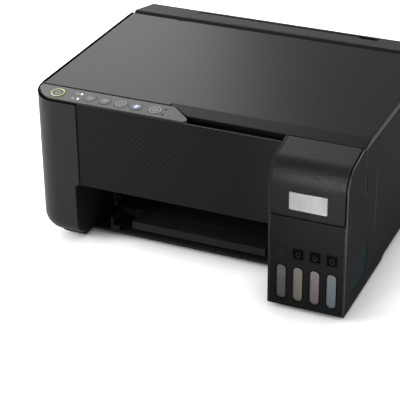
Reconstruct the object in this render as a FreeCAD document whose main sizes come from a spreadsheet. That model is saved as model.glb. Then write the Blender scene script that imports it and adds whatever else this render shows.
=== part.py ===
"""Compact tank inkjet printer with a flatbed scanner, as a parametric assembly.

Millimetres. Origin at the centre of the footprint on the table, +Z up, the front faces -Y.
Every size is a cell of the sheet "dims"; places are expressions of those cells.
"""
import FreeCAD, Part
import os
import re
import Sketcher

doc = FreeCAD.newDocument("inkjet_printer")
sheet = doc.addObject("Spreadsheet::Sheet", "dims")

SIZES = {
    # Overall form
    "body_w": 375, "body_d": 347, "body_h": 179,
    "tank_w": 84, "tank_reach": 33,
    "wall": 2.5, "seam": 0.3, "play": 0.5, "run_fit": 0.05,
    "corner_r": 28, "rear_r": 2, "hull_r": 22, "hull_lap": 4,
    # Heights of the levels
    "foot_h": 5, "foot_r": 9, "foot_inset": 30, "base_t": 3, "rim_h": 9, "skirt_z": 8.5,
    "waist_z": 43.5, "column_z": 4.5, "slot_z": 77.5,
    # Output slot and front panel
    "slot_left": 51.5, "slot_r": 4.5, "base_setback": 68.5, "panel_left": 56.5, "panel_t": 2.5,
    "panel_in": 1, "shelf_back": 227.5, "shelf_t": 2.5,
    "recess_left": 163.5, "recess_z": 21, "recess_back": 63,
    # Ink tank unit
    "cheek_t": 2.5, "seam_z": 108, "seam_flat": 11, "seam_end": 93,
    "tank_case_t": 3, "tank_top_z": 110, "tank_gap": 5.5, "case_deep": 47,
    "cover_rear": 47.7, "cover_rear_z": 3, "cover_rise": 9, "cover_r": 24, "cover_t": 4,
    "cover_shell": 2.5, "cover_lip_z": 19, "trunnion_r": 1.5, "trunnion_len": 1.8,
    "cheek_rear": 57, "cheek_step_z": 8.5,
    "window_w": 11.8, "window_low": 12.5, "window_high": 53.7, "window_r": 5,
    "window_pitch": 18.2, "window_in": 0.8, "chamber_gap": 0.6,
    "neck_r": 5, "neck_bore": 3.5, "neck_y": 23.5, "neck_h": 6,
    "cap_r": 8, "cap_t": 5, "cap_fit": 1.4, "cap_wall": 1.6, "cap_arm": 17, "cap_pin_r": 1.5,
    "cap_ear": 4, "cap_eye_r": 2.5, "cap_lug_r": 2.6, "cap_lug_t": 2, "cap_tab": 2.5, "cap_tab_w": 8,
    "side_win_y": 22, "side_win_len": 49.5, "side_win_low": 21, "side_win_high": 55,
    "side_win_cut": 8, "side_hole_y": 42, "side_hole_z": 113, "side_hole_r": 1.8,
    "pane_in": 0.4, "pane_fit": 0.2, "tank_step_in": 9, "tank_step": 10,
    # Lid and scanner unit
    "lid_low": 7.3, "lid_front_left": 62, "lid_front_right": 49, "lid_rear": 58.5,
    "lid_sweep_x": 160.5, "lid_sweep_len": 18, "lid_sweep_r": 18, "lid_crease": 68, "lid_front_z": 3,
    "lid_skin": 3, "lid_pocket_in": 10, "lid_corner_r": 8, "lid_front_r": 2, "lid_rear_r": 4,
    "lid_pin_y": 60.9, "lid_pin_z": 3.6, "lid_lug_r": 2.6, "hinge_pin_r": 1.5,
    "hinge_x": 67.5, "hinge_w": 10, "pin_reach": 4,
    "pad_t": 4.6, "tub_front": 66, "tub_rear": 60.5, "tub_t": 2.5, "frame_low": 14,
    "frame_top": 8.5, "frame_front": 63.5, "scan_left": 37.5, "scan_right": 39.5,
    "scan_front": 70.5, "scan_rear": 68.5, "glass_t": 3, "glass_lap": 3,
    "scan_pin_y": 56.5, "scan_pin_z": 12, "scan_arm_x": 25.5, "scan_arm_w": 9, "scan_arm_r": 3.5,
    "lug_t": 3, "lug_nose": 2, "side_lean": 3.8, "side_front": 57.5,
    "cis_w": 18, "cis_slot": 4, "cis_low": 30, "cis_top": 14.5, "cis_home": 51.5,
    "cis_rod_r": 3, "cis_rod_z": 33, "cis_rod_y": 171.5, "cis_bush_r": 6, "post_w": 4,
    # Control panel
    "cp_front": 36.8, "cp_rear": 61, "cp_front_z": 3.5, "cp_rear_z": 0.5, "cp_low": 8,
    "cp_end_front": 190.5, "cp_end_rear": 160.5, "cp_end_r": 4,
    "button_y": 48.6, "button_travel": 0.8, "button_r": 7, "power_r": 8, "button_fit": 0.3,
    "button_stem_r": 3, "button_flange": 1.5, "button_rise": 0.3,
    "power_x": 27.8, "button_a_x": 66.7, "button_b_x": 84.1, "button_c_x": 103.6,
    "button_d_x": 121.3, "button_e_x": 143.6, "light_r": 1.3, "light_x": 54.5, "light_step": 4.8,
    "light_rise": 0.3, "dot_x": 153.9, "board_drop": 8, "board_left": 19.5, "board_right": 159.5,
    "boss_x": 42.5, "boss_y": 58, "boss_step": 54, "boss_r": 2.5,
    # Paper feed at the rear
    "strip_front": 54, "strip_slope": 0.2, "strip_t": 3, "strip_bevel": 4, "feed_slope": 0.325,
    "hopper_y": 48.5, "hopper_z": 109, "hopper_t": 3, "hopper_top": 19,
    "feed_left": 68.5, "feed_right": 78.5, "feed_front": 45.5, "feed_wall_y": 73.5,
    "ramp_t": 2.5, "ramp_gap": 1.7,
    "guide_room_left": 9.4, "guide_room_right": 8.6,
    "guard_t": 2.5, "guard_len": 27, "guard_gap": 1, "guard_pin_r": 1,
    "support_t": 3.5, "support_low": 62, "support_top": 9.5, "support_gap": 0.6,
    "notch_w": 22, "notch_x": 91.5, "notch_h": 5,
    "guide_t": 3, "guide_low": 92, "guide_top": 27, "guide_reach": 14,
    "rear_post": 50, "vent_n": 9, "vent_w": 3, "vent_h": 26, "vent_pitch": 8, "vent_x": 60, "vent_z": 84,
    # Output tray
    "tray_low": 14, "tray_t": 9, "tray_wall": 2, "tray_left": 77.5, "tray_right": 89.5,
    "tray_front": 95.5, "tray_rear": 117.5, "rail_w": 2.5, "rail_lap": 8,
    "groove_n": 7, "groove_w": 6, "groove_deep": 1,
    "ext_in": 24, "ext_gap": 16, "head_len": 26,
    "stop_w": 60, "stop_t": 2.5, "stop_pin": 3, "stop_pin_r": 0.9,
    # Print engine
    "frame_left": 45.5, "frame_right": 59.5, "sheet_t": 1.5, "frame_y0": 225.5, "frame_y1": 78.5,
    "frame_h": 53, "frame_foot": 10, "rail_y": 136.5, "rail_z0": 86, "rail_flange": 14,
    "rod_y": 151.5, "rod_z": 22, "rod_r": 4, "bush_r": 6.3,
    "carriage_w": 62, "carriage_home": 101.5, "carriage_y0": 207.5, "carriage_y1": 160.5,
    "carriage_low": 76, "carriage_top": 4, "carriage_t": 3,
    "head_low": 73, "head_w": 44, "head_y0": 199.5, "head_y1": 169.5,
    "belt_y": 143.5, "belt_w": 4, "belt_t": 1.2, "belt_z": 14,
    "pulley_r": 6, "pulley_x0": 63.5, "pulley_x1": 75.5, "pulley_lip": 1,
    "motor_r": 13, "motor_len": 32, "motor_shaft_r": 1.5,
    "feed_y": 147, "feed_z": 66, "feed_r": 6, "exit_r": 5, "shaft_r": 3,
    "gear_module": 1.25, "gear_teeth": 32, "idler_teeth": 24, "pinion_teeth": 10, "gear_w": 6,
    "gear_gap": 2,
    "tooth_w": 0.72, "tooth_tip": 0.3, "root_share": 1.15, "tip_share": 0.8,
    "pinion_drop": 33.75, "pinion_hole_r": 2.5, "star_r": 6, "star_w": 1.5, "star_shaft_r": 1.5,
    "star_pitch": 38, "sleeve_n": 6, "sleeve_w": 20,
    "platen_y0": 209.5, "platen_y1": 155.5, "platen_top": 71, "platen_t": 3, "platen_leg": 8,
    "rib_n": 9, "rib_h": 1.2, "rib_w": 1.5, "station_x0": 123.5, "well_deep": 6,
    "pick_z": 88, "pick_r": 16, "pick_w": 42,
    # Electrics
    "board_x": 27.5, "board_t": 1.6, "board_y0": 133.5, "board_z1": 108,
    "usb_w": 12, "usb_h": 11, "usb_z": 62, "usb_deep": 14, "usb_wall": 1.2,
    "supply_x0": 53.5, "supply_y0": 99.5, "supply_z1": 66,
    "inlet_w": 21, "inlet_h": 14, "inlet_x": 31.5, "inlet_z": 40, "inlet_deep": 12, "inlet_wall": 1.8,
    "pin_r": 1.2, "pin_drop": 2,
}

# Sizes that are distances from an outer face, by the place that each one stands for
MEASURED = {
    "(body_h-%s)": (
        "waist_z", "column_z", "recess_z", "cover_rear_z", "cover_lip_z", "cheek_step_z", "lid_low",
        "lid_front_z", "lid_pin_z", "frame_low", "frame_top", "scan_pin_z", "cis_low", "cis_top",
        "cis_rod_z", "cp_front_z", "cp_rear_z", "cp_low", "hopper_top",
        "hopper_z", "support_top", "guide_top", "frame_h"),
    "(body_h-frame_h-%s)": ("belt_z", "rod_z", "carriage_top"),
    "(%s-body_d/2)": (
        "tub_front", "frame_front", "scan_front", "side_front", "recess_back", "neck_y", "tray_front"),
    "(body_d/2-%s)": (
        "tub_rear", "scan_rear", "lid_pin_y", "scan_pin_y", "strip_front", "hopper_y", "feed_front",
        "feed_wall_y", "frame_y0", "frame_y1", "rail_y", "rod_y", "carriage_y0", "carriage_y1", "head_y0",
        "head_y1", "belt_y", "feed_y", "platen_y0", "platen_y1", "shelf_back", "tray_rear", "board_y0",
        "supply_y0", "cis_rod_y", "lid_rear"),
    "(%s-body_w/2)": (
        "power_x", "button_a_x", "button_b_x", "button_c_x", "button_d_x", "button_e_x", "light_x",
        "dot_x", "boss_x", "board_left", "board_right", "cp_end_front", "cp_end_rear", "lid_sweep_x",
        "recess_left", "slot_left", "panel_left", "scan_left", "feed_left", "frame_left", "tray_left",
        "board_x", "pulley_x0", "cis_home"),
    "(body_w/2-%s)": (
        "scan_right", "frame_right", "feed_right", "tray_right", "supply_x0", "inlet_x", "station_x0",
        "carriage_home", "pulley_x1", "scan_arm_x", "hinge_x", "notch_x"),
}
PLACES = {name: form % name for form, names in MEASURED.items() for name in names}

for row, (alias, size) in enumerate(SIZES.items(), start=1):
    sheet.set("A%d" % row, alias)
    sheet.set("B%d" % row, str(size))
    sheet.setAlias("B%d" % row, alias)
doc.recompute()

WORD = re.compile(r"[a-z_][a-z_0-9]*")
nodes = []


def placed(text):
    """Expression with every size that is measured from a face turned into its place."""
    return WORD.sub(lambda hit: PLACES.get(hit.group(), hit.group()), str(text))


def linked(text):
    """Expression for a document object: every size name is looked up in the sheet."""
    return WORD.sub(lambda hit: "dims." + hit.group() if hit.group() in SIZES else hit.group(),
                    placed(text))


def number(text):
    """Value that an expression has now."""
    return float(sheet.evalExpression(placed(text)))


def node(label, made):
    """Names a finished piece; the label is also its file's name."""
    made.Label = label
    nodes.append(made)
    return made


TURNS = {
    "X": FreeCAD.Rotation(FreeCAD.Vector(0, 1, 0), 90),
    "Y": FreeCAD.Rotation(FreeCAD.Vector(1, 0, 0), -90),
    "Z": FreeCAD.Rotation(),
}
NORMAL = {"XY_Plane": 1, "XZ_Plane": -1, "YZ_Plane": 1}


def block(name, x, y, z):
    """Box between two places on each axis."""
    made = doc.addObject("Part::Box", name)
    for side, axis, (low, high) in zip(("Length", "Width", "Height"), "xyz", (x, y, z)):
        made.setExpression(side, linked("(%s)-(%s)" % (high, low)))
        made.setExpression("Placement.Base." + axis, linked(low))
    return made


def rod(name, axis, at, span, radius):
    """Cylinder along an axis: its two other places, its two ends and its radius."""
    made = doc.addObject("Part::Cylinder", name)
    made.Placement = FreeCAD.Placement(FreeCAD.Vector(), TURNS[axis])
    made.setExpression("Radius", linked(radius))
    made.setExpression("Height", linked("(%s)-(%s)" % (span[1], span[0])))
    others = [letter for letter in "XYZ" if letter != axis]
    for letter, place in zip(others + [axis], list(at) + [span[0]]):
        made.setExpression("Placement.Base." + letter.lower(), linked(place))
    return made


def fuse(name, pieces):
    made = doc.addObject("Part::MultiFuse", name)
    made.Shapes = pieces
    made.Refine = True
    return made


def cut(name, base, tools):
    made = doc.addObject("Part::Cut", name)
    made.Base = base
    made.Tool = tools[0] if len(tools) == 1 else fuse(name + "_tools", tools)
    made.Refine = True
    return made


def group(name, pieces):
    """Several separate solids of one kind."""
    made = doc.addObject("Part::Compound", name)
    made.Links = pieces
    return made


def new_body(name):
    return doc.addObject("PartDesign::Body", name)


def sketch_on(body, plane, place):
    """Sketch on one of the body's origin planes, moved along its normal to a place."""
    sketch = body.newObject("Sketcher::SketchObject", body.Name + "_sketch")
    support = next(item for item in body.Origin.OriginFeatures if item.Role == plane)
    sketch.AttachmentSupport = [(support, "")]
    sketch.MapMode = "FlatFace"
    sketch.setExpression("AttachmentOffset.Base.z", linked("%d*(%s)" % (NORMAL[plane], place)))
    return sketch


def hold(sketch, kind, geometry, point, text):
    """Holds a point's distance from the origin, or a radius, at an expression's value."""
    if kind == "Radius":
        rule = Sketcher.Constraint(kind, geometry, number(text))
    else:
        rule = Sketcher.Constraint(kind, -1, 1, geometry, point, number(text))
    index = sketch.addConstraint(rule)
    sketch.setExpression("Constraints[%d]" % index, linked(text))


def draw_outline(sketch, points):
    """Closed outline of straight lines through the points."""
    first = sketch.GeometryCount
    count = len(points)
    spots = [FreeCAD.Vector(number(across), number(up), 0) for across, up in points]
    for i in range(count):
        sketch.addGeometry(Part.LineSegment(spots[i], spots[(i + 1) % count]), False)
    for i in range(count):
        sketch.addConstraint(Sketcher.Constraint("Coincident", first + i, 2, first + (i + 1) % count, 1))
    for i, (across, up) in enumerate(points):
        hold(sketch, "DistanceX", first + i, 1, across)
        hold(sketch, "DistanceY", first + i, 1, up)


def draw_circle(sketch, across, up, radius):
    centre = FreeCAD.Vector(number(across), number(up), 0)
    circle = Part.Circle(centre, FreeCAD.Vector(0, 0, 1), number(radius))
    index = sketch.addGeometry(circle, False)
    hold(sketch, "DistanceX", index, 3, across)
    hold(sketch, "DistanceY", index, 3, up)
    hold(sketch, "Radius", index, 0, radius)


def feature(body, kind, plane, span, points, circles):
    """Pad or pocket of an outline, or of circles, between two places along the plane's axis."""
    low, high = span
    from_low = (NORMAL[plane] > 0) == (kind == "Pad")
    sketch = sketch_on(body, plane, low if from_low else high)
    if points:
        draw_outline(sketch, points)
    for circle in circles:
        draw_circle(sketch, *circle)
    made = body.newObject("PartDesign::" + kind, "%s_%s" % (body.Name, kind.lower()))
    made.Profile = sketch
    made.setExpression("Length", linked("(%s)-(%s)" % (high, low)))
    body.Tip = made
    return made


def pad(body, plane, span, points=(), circles=()):
    return feature(body, "Pad", plane, span, points, circles)


def pocket(body, plane, span, points=(), circles=()):
    doc.recompute()
    before = body.Shape.Volume
    made = feature(body, "Pocket", plane, span, points, circles)
    doc.recompute()
    if body.Shape.Volume >= before:
        raise RuntimeError("A pocket of %s cuts nothing" % body.Name)
    return made


def fillet(body, radius, axis, places):
    """Rounds the straight edges along an axis at the given places on the two other axes."""
    doc.recompute()
    base = body.Tip
    others = [i for i in range(3) if "XYZ"[i] != axis]
    wanted = [(number(first), number(second)) for first, second in places]
    names = []
    for count, edge in enumerate(base.Shape.Edges, start=1):
        ends = [vertex.Point for vertex in edge.Vertexes]
        for spot in wanted:
            if all(abs(end[i] - place) < 0.01 for end in ends for i, place in zip(others, spot)):
                names.append("Edge%d" % count)
    made = body.newObject("PartDesign::Fillet", body.Name + "_fillet")
    made.Base = (base, names)
    made.setExpression("Radius", linked(radius))
    body.Tip = made
    return made


def prism(name, plane, span, points):
    """Plain body: one outline padded between two places."""
    body = new_body(name)
    pad(body, plane, span, points)
    return body


def back(distance):
    """Place on Y from the foremost face."""
    return "(%s-body_d/2)" % distance


# Places that several pieces share
RIGHT = "(body_w/2)"
LEFT = "(-body_w/2)"
FRONT = "(-body_d/2)"
REAR = "(body_d/2)"
FACE = back("tank_reach")
PANEL_Y = back("tank_reach+panel_in")
TANK_L = "(body_w/2-tank_w)"
BASE_TOP = "(foot_h+base_t)"
INSIDE_L = "(wall+seam-body_w/2)"
INSIDE_R = "(body_w/2-wall-seam)"
INSIDE_REAR = "(body_d/2-wall-seam)"
SIDE_TOP = "(waist_z-seam)"
COVER_L = "(body_w/2-tank_w+cheek_t+play)"
COVER_R = "(body_w/2-cheek_t-play)"
TANK_REAR = "(frame_y0-tank_gap)"
PAPER_L = "(feed_left+guide_room_left)"
PAPER_R = "(feed_right-guide_room_right)"
PAPER_X = "((feed_left+guide_room_left+feed_right-guide_room_right)/2)"
COVER_AXIS_Y = back("cover_t/2")
COVER_AXIS_Z = "(tank_top_z+play+cover_t/2)"
CAP_PIN_Y = "(neck_y+cap_arm)"
CAP_LOW = "(tank_top_z+play)"
CAP_TOP = "(tank_top_z+neck_h+play+cap_wall)"
CAP_PIN_Z = "(tank_top_z+neck_h+play+cap_wall-cap_eye_r)"
STRIP_REAR_Z = "(body_h-strip_slope*(body_d/2-wall-strip_front))"
USB_X = "(board_x+board_t)"
BUTTONS = ["button_a_x", "button_b_x", "button_c_x", "button_d_x", "button_e_x"]
LIGHTS = [
    ("light_x", back("button_y+light_step")), ("light_x", back("button_y-light_step")),
    ("dot_x", back("button_y+light_step")), ("dot_x", back("button_y-light_step")),
]
BOARD_TOP = "(cp_low-board_drop)"
SCAN_LOW = "(scan_pin_z-scan_arm_r)"
SCAN_HIGH = "(scan_pin_z+scan_arm_r)"
EXIT_Y = "(feed_y-gear_module*(gear_teeth+idler_teeth))"
IDLER_Y = "(feed_y-gear_module*(gear_teeth+idler_teeth)/2)"
PINION_Y = "(feed_y+gear_module*(gear_teeth+pinion_teeth)/2*cos(pinion_drop))"
PINION_Z = "(feed_z-gear_module*(gear_teeth+pinion_teeth)/2*sin(pinion_drop))"
GEAR_X0 = "(frame_left-gear_gap-gear_w)"
GEAR_X1 = "(frame_left-gear_gap)"
STAR_Z = "(feed_z+exit_r+seam+star_r)"
PULLEY_Y0 = "(belt_y-seam-pulley_lip)"
PULLEY_Y1 = "(belt_y+belt_w+seam+pulley_lip)"
PICK_Y = "(hopper_y+(pick_z-hopper_z)*feed_slope-pick_r-2*play)"
GUARD_Y = "(feed_front+guard_gap+guard_t/2)"
GUARD_Z = "(body_h-strip_slope*(feed_front+guard_gap+guard_t/2-strip_front)-guard_t/2)"
TRAY_X = "((tray_left+tray_right)/2)"
STOP_Y = "(tray_front-head_len+wall+play+stop_t/2)"
STOP_Z = "(tray_low+tray_t-stop_t/2)"


def base_tray():
    """Floor on the feet with side rims, the slot's left wall and the rails of the output tray."""
    floor = new_body("base_floor")
    edge_x = LEFT + "+hull_r-hull_lap"
    edge_y = FACE + "+hull_r-hull_lap"
    pad(floor, "XY_Plane", ("foot_h", BASE_TOP), [
        (edge_x, edge_y), ("slot_left", edge_y),
        ("slot_left", back("base_setback")), (TANK_L + "-seam", back("base_setback")),
        (TANK_L + "-seam", TANK_REAR + "+play"), (INSIDE_R, TANK_REAR + "+play"),
        (INSIDE_R, INSIDE_REAR), (edge_x, INSIDE_REAR)])
    fillet(floor, "corner_r-hull_r+hull_lap", "Z", [(edge_x, edge_y)])
    slot_wall = prism("slot_wall", "YZ_Plane", ("slot_left-wall", "slot_left"), [
        (FACE + "+wall+seam", "skirt_z+wall+seam"), (FACE + "+hull_r+seam", "skirt_z+wall+seam"),
        (FACE + "+hull_r+seam", BASE_TOP), ("shelf_back", BASE_TOP), ("shelf_back", "slot_z-seam"),
        (FACE + "+wall+seam", "slot_z-seam")])
    fillet(slot_wall, "hull_r-wall-seam", "X", [(FACE + "+wall+seam", "skirt_z+wall+seam")])
    rim_z = (BASE_TOP, BASE_TOP + "+rim_h")
    rail_z = (BASE_TOP, "tray_low-seam")
    rail_y = (back("base_setback"), "tray_rear")
    lips = []
    for outer, inner, name in (("tray_left-seam", -1, "left"), ("tray_right+seam", 1, "right")):
        low, high = ("%s+%d*rail_w" % (outer, inner), outer) if inner < 0 else (outer, outer + "+rail_w")
        ledge = (low, high + "+rail_lap") if inner < 0 else (low + "-rail_lap", high)
        lips.append(block("rail_" + name, (low, high), rail_y, (BASE_TOP, "tray_low+tray_t")))
        lips.append(block("ledge_" + name, ledge, rail_y, rail_z))
    return fuse("base_tray_shape", [
        floor,
        slot_wall,
        block("rim_left", (LEFT + "+hull_r+seam", LEFT + "+hull_r+seam+wall"),
              (back("tank_reach+corner_r"), INSIDE_REAR), rim_z),
        block("rim_right", (INSIDE_R + "-wall", INSIDE_R), (TANK_REAR + "+play", INSIDE_REAR), rim_z),
    ] + lips)


def rubber_feet():
    """Four feet under the base and one under the tank."""
    spots = [
        (LEFT + "+foot_inset", back("tank_reach+foot_inset+corner_r")),
        (LEFT + "+foot_inset", REAR + "-foot_inset"), (RIGHT + "-foot_inset", REAR + "-foot_inset"),
        (RIGHT + "-foot_inset", back("foot_inset")),
    ]
    return group("rubber_feet_shape", [rod("foot", "Z", spot, ("0", "foot_h"), "foot_r") for spot in spots])


def left_form(name, inset, top, far):
    """Filled left end of the housing: round front corner and round lower edge."""
    form = new_body(name)
    left = "%s+%s" % (LEFT, inset)
    face = "%s+%s" % (FACE, inset)
    low = "skirt_z+%s" % inset
    pad(form, "XY_Plane", (low, top), [(far, face), (left, face), (left, INSIDE_REAR), (far, INSIDE_REAR)])
    fillet(form, "corner_r-%s" % inset, "Z", [(left, face)])
    fillet(form, "hull_r-%s" % inset, "Y", [(left, low)])
    return form


def left_side_cover():
    """Left wall that turns round the front corner as a tall column and curls in at its lower edge."""
    lid_y = back("lid_front_left-play")
    under = prism("left_side_under", "XY_Plane", ("skirt_z-wall", "skirt_z+2*wall"), [
        (LEFT + "+hull_r", FACE + "+hull_r"), ("panel_left+wall", FACE + "+hull_r"),
        ("panel_left+wall", REAR), (LEFT + "+hull_r", REAR)])
    fillet(under, "corner_r-hull_r", "Z", [(LEFT + "+hull_r", FACE + "+hull_r")])
    lid_room = prism("left_side_lid_room", "YZ_Plane", (LEFT + "-wall", "panel_left+wall"), [
        ("recess_back", SIDE_TOP), (REAR, SIDE_TOP), (REAR, "body_h"), (lid_y, "body_h"),
        (lid_y, "lid_low-play"), ("recess_back", "lid_low-play")])
    slot_room = prism("left_side_slot_room", "XZ_Plane", (FACE + "-wall", FACE + "+hull_r+wall"), [
        ("slot_left", "skirt_z-wall"), ("panel_left+wall", "skirt_z-wall"),
        ("panel_left+wall", "slot_z"), ("slot_left", "slot_z")])
    fillet(slot_room, "slot_r", "Y", [("slot_left", "slot_z")])
    inside = left_form("left_side_inside", "wall", "body_h", "panel_left+wall")
    return cut("left_side_cover_shape", left_form("left_side_outside", "0", "column_z", "panel_left"),
               [inside, under, lid_room, slot_room])


def side_window_outline(inset):
    """Window in the right side: its lower rear corner is cut off."""
    low = "side_win_low+%s" % inset
    high = "side_win_high-%s" % inset
    near = back("side_win_y+%s" % inset)
    far = back("side_win_y+side_win_len-%s" % inset)
    return [(near, low), (far + "-side_win_cut", low), (far, low + "+2*side_win_cut"), (far, high),
            (near, high)]


def right_side_cover():
    """Right wall; its top edge rises from the tank seam to the scanner's waist."""
    cover = new_body("right_side_cover_shape")
    pad(cover, "YZ_Plane", (RIGHT + "-wall", RIGHT), [
        (FRONT, "foot_h"), (FRONT, "seam_z-seam"), (back("seam_flat"), "seam_z-seam"),
        (back("seam_end"), SIDE_TOP), (INSIDE_REAR, SIDE_TOP), (INSIDE_REAR, "skirt_z"),
        (TANK_REAR + "+tank_step_in+tank_step", "skirt_z"), (TANK_REAR + "+tank_step_in", "foot_h")])
    pocket(cover, "YZ_Plane", (RIGHT + "-2*wall", RIGHT + "+wall"), side_window_outline("0"))
    pocket(cover, "YZ_Plane", (RIGHT + "-2*wall", RIGHT + "+wall"),
           circles=[(back("side_hole_y"), "side_hole_z", "side_hole_r")])
    return cover


def side_window():
    """Smoked pane set flush into the right side cover."""
    return prism("side_window_shape", "YZ_Plane", (RIGHT + "-wall", RIGHT + "-pane_in"),
                 side_window_outline("pane_fit"))


def rear_cover():
    """Back wall in three panels: a vented cover between two posts with the connectors' openings."""
    through = (REAR + "-2*wall", REAR + "+wall")
    inlet_hole = block("inlet_hole", ("inlet_x-inlet_w/2-play", "inlet_x+inlet_w/2+play"), through,
                       ("inlet_z-inlet_h/2-play", "inlet_z+inlet_h/2+play"))
    socket_hole = block("socket_hole", (USB_X + "-play", USB_X + "+usb_w+play"), through,
                        ("usb_z-play", "usb_z+usb_h+play"))
    vents = []
    for i in range(int(number("vent_n"))):
        middle = "vent_x+%d*vent_pitch" % i
        vents.append(block("vent", (middle + "-vent_w/2", middle + "+vent_w/2"), through,
                           ("vent_z", "vent_z+vent_h")))
    panels = []
    for name, low, high, rounding, holes in (
            ("left_post", LEFT, LEFT + "+rear_post", ("hull_r", "Y", [(LEFT, "skirt_z")]), [socket_hole]),
            ("vent_cover", LEFT + "+rear_post+seam", RIGHT + "-rear_post-seam", (), vents),
            ("right_post", RIGHT + "-rear_post", RIGHT, ("rear_r", "Z", [(RIGHT, REAR)]), [inlet_hole])):
        wall = prism(name, "XY_Plane", ("skirt_z", STRIP_REAR_Z + "-seam"), [
            (low, REAR + "-wall"), (high, REAR + "-wall"), (high, REAR), (low, REAR)])
        if rounding:
            fillet(wall, *rounding)
        panels.append(cut(name + "_open", wall, holes))
    return group("rear_cover_shape", panels)


def front_panel():
    """Upright panel over the output slot, with the slot's ceiling and the finger recess behind its lip."""
    across = ("panel_left+seam", TANK_L + "-seam")
    recess_x = ("recess_left-wall", TANK_L + "-seam")
    pane = block("panel_pane", across, (PANEL_Y, PANEL_Y + "+panel_t"), ("slot_z", "column_z"))
    shelf = block("panel_shelf", across, (PANEL_Y, "shelf_back"), ("slot_z", "slot_z+shelf_t"))
    floor = block("recess_floor", recess_x, (PANEL_Y, "recess_back"), ("recess_z-wall", "recess_z"))
    rear = block("recess_rear", recess_x, ("recess_back-wall", "recess_back"),
                 ("recess_z-wall", "cp_low-seam"))
    end = block("recess_end", ("recess_left-wall", "recess_left"), (PANEL_Y, "recess_back"),
                ("recess_z-wall", "cp_low-seam"))
    return fuse("front_panel_shape", [pane, shelf, floor, rear, end])


def cover_outline(low, inset):
    """Side outline of the tank cover: upright front, then a slope up to the lid."""
    top = "cover_rear_z-(%s)" % inset
    return [(back(inset), low), (back(inset), top + "-cover_rise"), (back("cover_rear"), top)]


def tank_left_cheek():
    """Left wall of the tank unit; its upper edge follows the cover."""
    cheek = new_body("tank_left_cheek_shape")
    rear = back("cheek_rear")
    pad(cheek, "YZ_Plane", (TANK_L, TANK_L + "+cheek_t"), cover_outline("foot_h", "0") + [
        (back("cover_rear"), "cheek_step_z"), (rear, "cheek_step_z"), (rear, "slot_z+shelf_t+play"),
        (TANK_REAR, "slot_z+shelf_t+play"), (TANK_REAR, "foot_h")])
    fillet(cheek, "cover_r", "X", [(FRONT, "cover_rear_z-cover_rise")])
    pocket(cheek, "YZ_Plane", (TANK_L + "+cheek_t-trunnion_len", TANK_L + "+2*cheek_t"),
           circles=[(COVER_AXIS_Y, COVER_AXIS_Z, "trunnion_r+run_fit")])
    return cheek


def tank_right_cheek():
    """Right wall of the tank unit above the sloping seam."""
    cheek = new_body("tank_right_cheek_shape")
    rear = back("cheek_rear")
    rear_seam = "seam_z+(cheek_rear-seam_flat)*(waist_z-seam_z)/(seam_end-seam_flat)"
    pad(cheek, "YZ_Plane", (RIGHT + "-cheek_t", RIGHT), cover_outline("seam_z", "0") + [
        (back("cover_rear"), "cheek_step_z"), (rear, "cheek_step_z"), (rear, rear_seam),
        (back("seam_flat"), "seam_z")])
    fillet(cheek, "cover_r", "X", [(FRONT, "cover_rear_z-cover_rise")])
    pocket(cheek, "YZ_Plane", (RIGHT + "-2*cheek_t", RIGHT + "-cheek_t+trunnion_len"),
           circles=[(COVER_AXIS_Y, COVER_AXIS_Z, "trunnion_r+run_fit")])
    return cheek


def window_spots():
    """Middles of the four tank windows on X."""
    middle = "(body_w/2-tank_w/2-%s*window_pitch)"
    return [middle % half for half in ("1.5", "0.5", "(-0.5)", "(-1.5)")]


def tank_case():
    """Front case of the tank with four rounded windows, and a deck behind it with four filler holes."""
    left = TANK_L + "+cheek_t+seam"
    right = RIGHT + "-wall-seam"
    case = prism("tank_shell", "YZ_Plane", (left, right), [
        (FRONT, "foot_h"), (FRONT, "tank_top_z"), (back("tank_case_t"), "tank_top_z"),
        (back("tank_case_t"), BASE_TOP), (TANK_REAR, BASE_TOP), (TANK_REAR, "foot_h")])
    through = (FRONT + "-tank_case_t", back("2*tank_case_t"))
    for middle in window_spots():
        low_x = middle + "-window_w/2"
        high_x = middle + "+window_w/2"
        pocket(case, "XZ_Plane", through, [
            (low_x, "window_low"), (high_x, "window_low"), (high_x, "window_high"), (low_x, "window_high")])
        fillet(case, "window_r", "Y",
               [(x, z) for x in (low_x, high_x) for z in ("window_low", "window_high")])
    deck_z = ("tank_top_z-tank_case_t", "tank_top_z")
    parts = [block("filler_deck", (left, right), (back("tank_case_t"), back("case_deep")), deck_z)]
    holes = []
    for middle in window_spots():
        parts += [cap_lug(middle, side) for side in ("-1", "1")]
        holes.append(rod("neck_way", "Z", (middle, "neck_y"), deck_z, "neck_r+play"))
        holes.append(rod("cap_bore", "X", (CAP_PIN_Y, CAP_PIN_Z), (middle + "-cap_r", middle + "+cap_r"),
                         "cap_pin_r+run_fit"))
    return group("tank_case_shape", [case, cut("deck_open", fuse("deck_lugs", parts), holes)])


def cap_lug(middle, side):
    """One of the two ears that hold a cap's pin."""
    inner = "%s+(%s)*(cap_ear+play)" % (middle, side)
    outer = "%s+(%s)*(cap_ear+play+cap_lug_t)" % (middle, side)
    x = (inner, outer) if side == "1" else (outer, inner)
    top = rod("lug_eye", "X", (CAP_PIN_Y, CAP_PIN_Z), x, "cap_lug_r")
    foot = block("lug_foot", x, (CAP_PIN_Y + "-cap_lug_r", CAP_PIN_Y + "+cap_lug_r"),
                 ("tank_top_z-tank_case_t", CAP_PIN_Z))
    return fuse("cap_lug", [top, foot])


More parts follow.
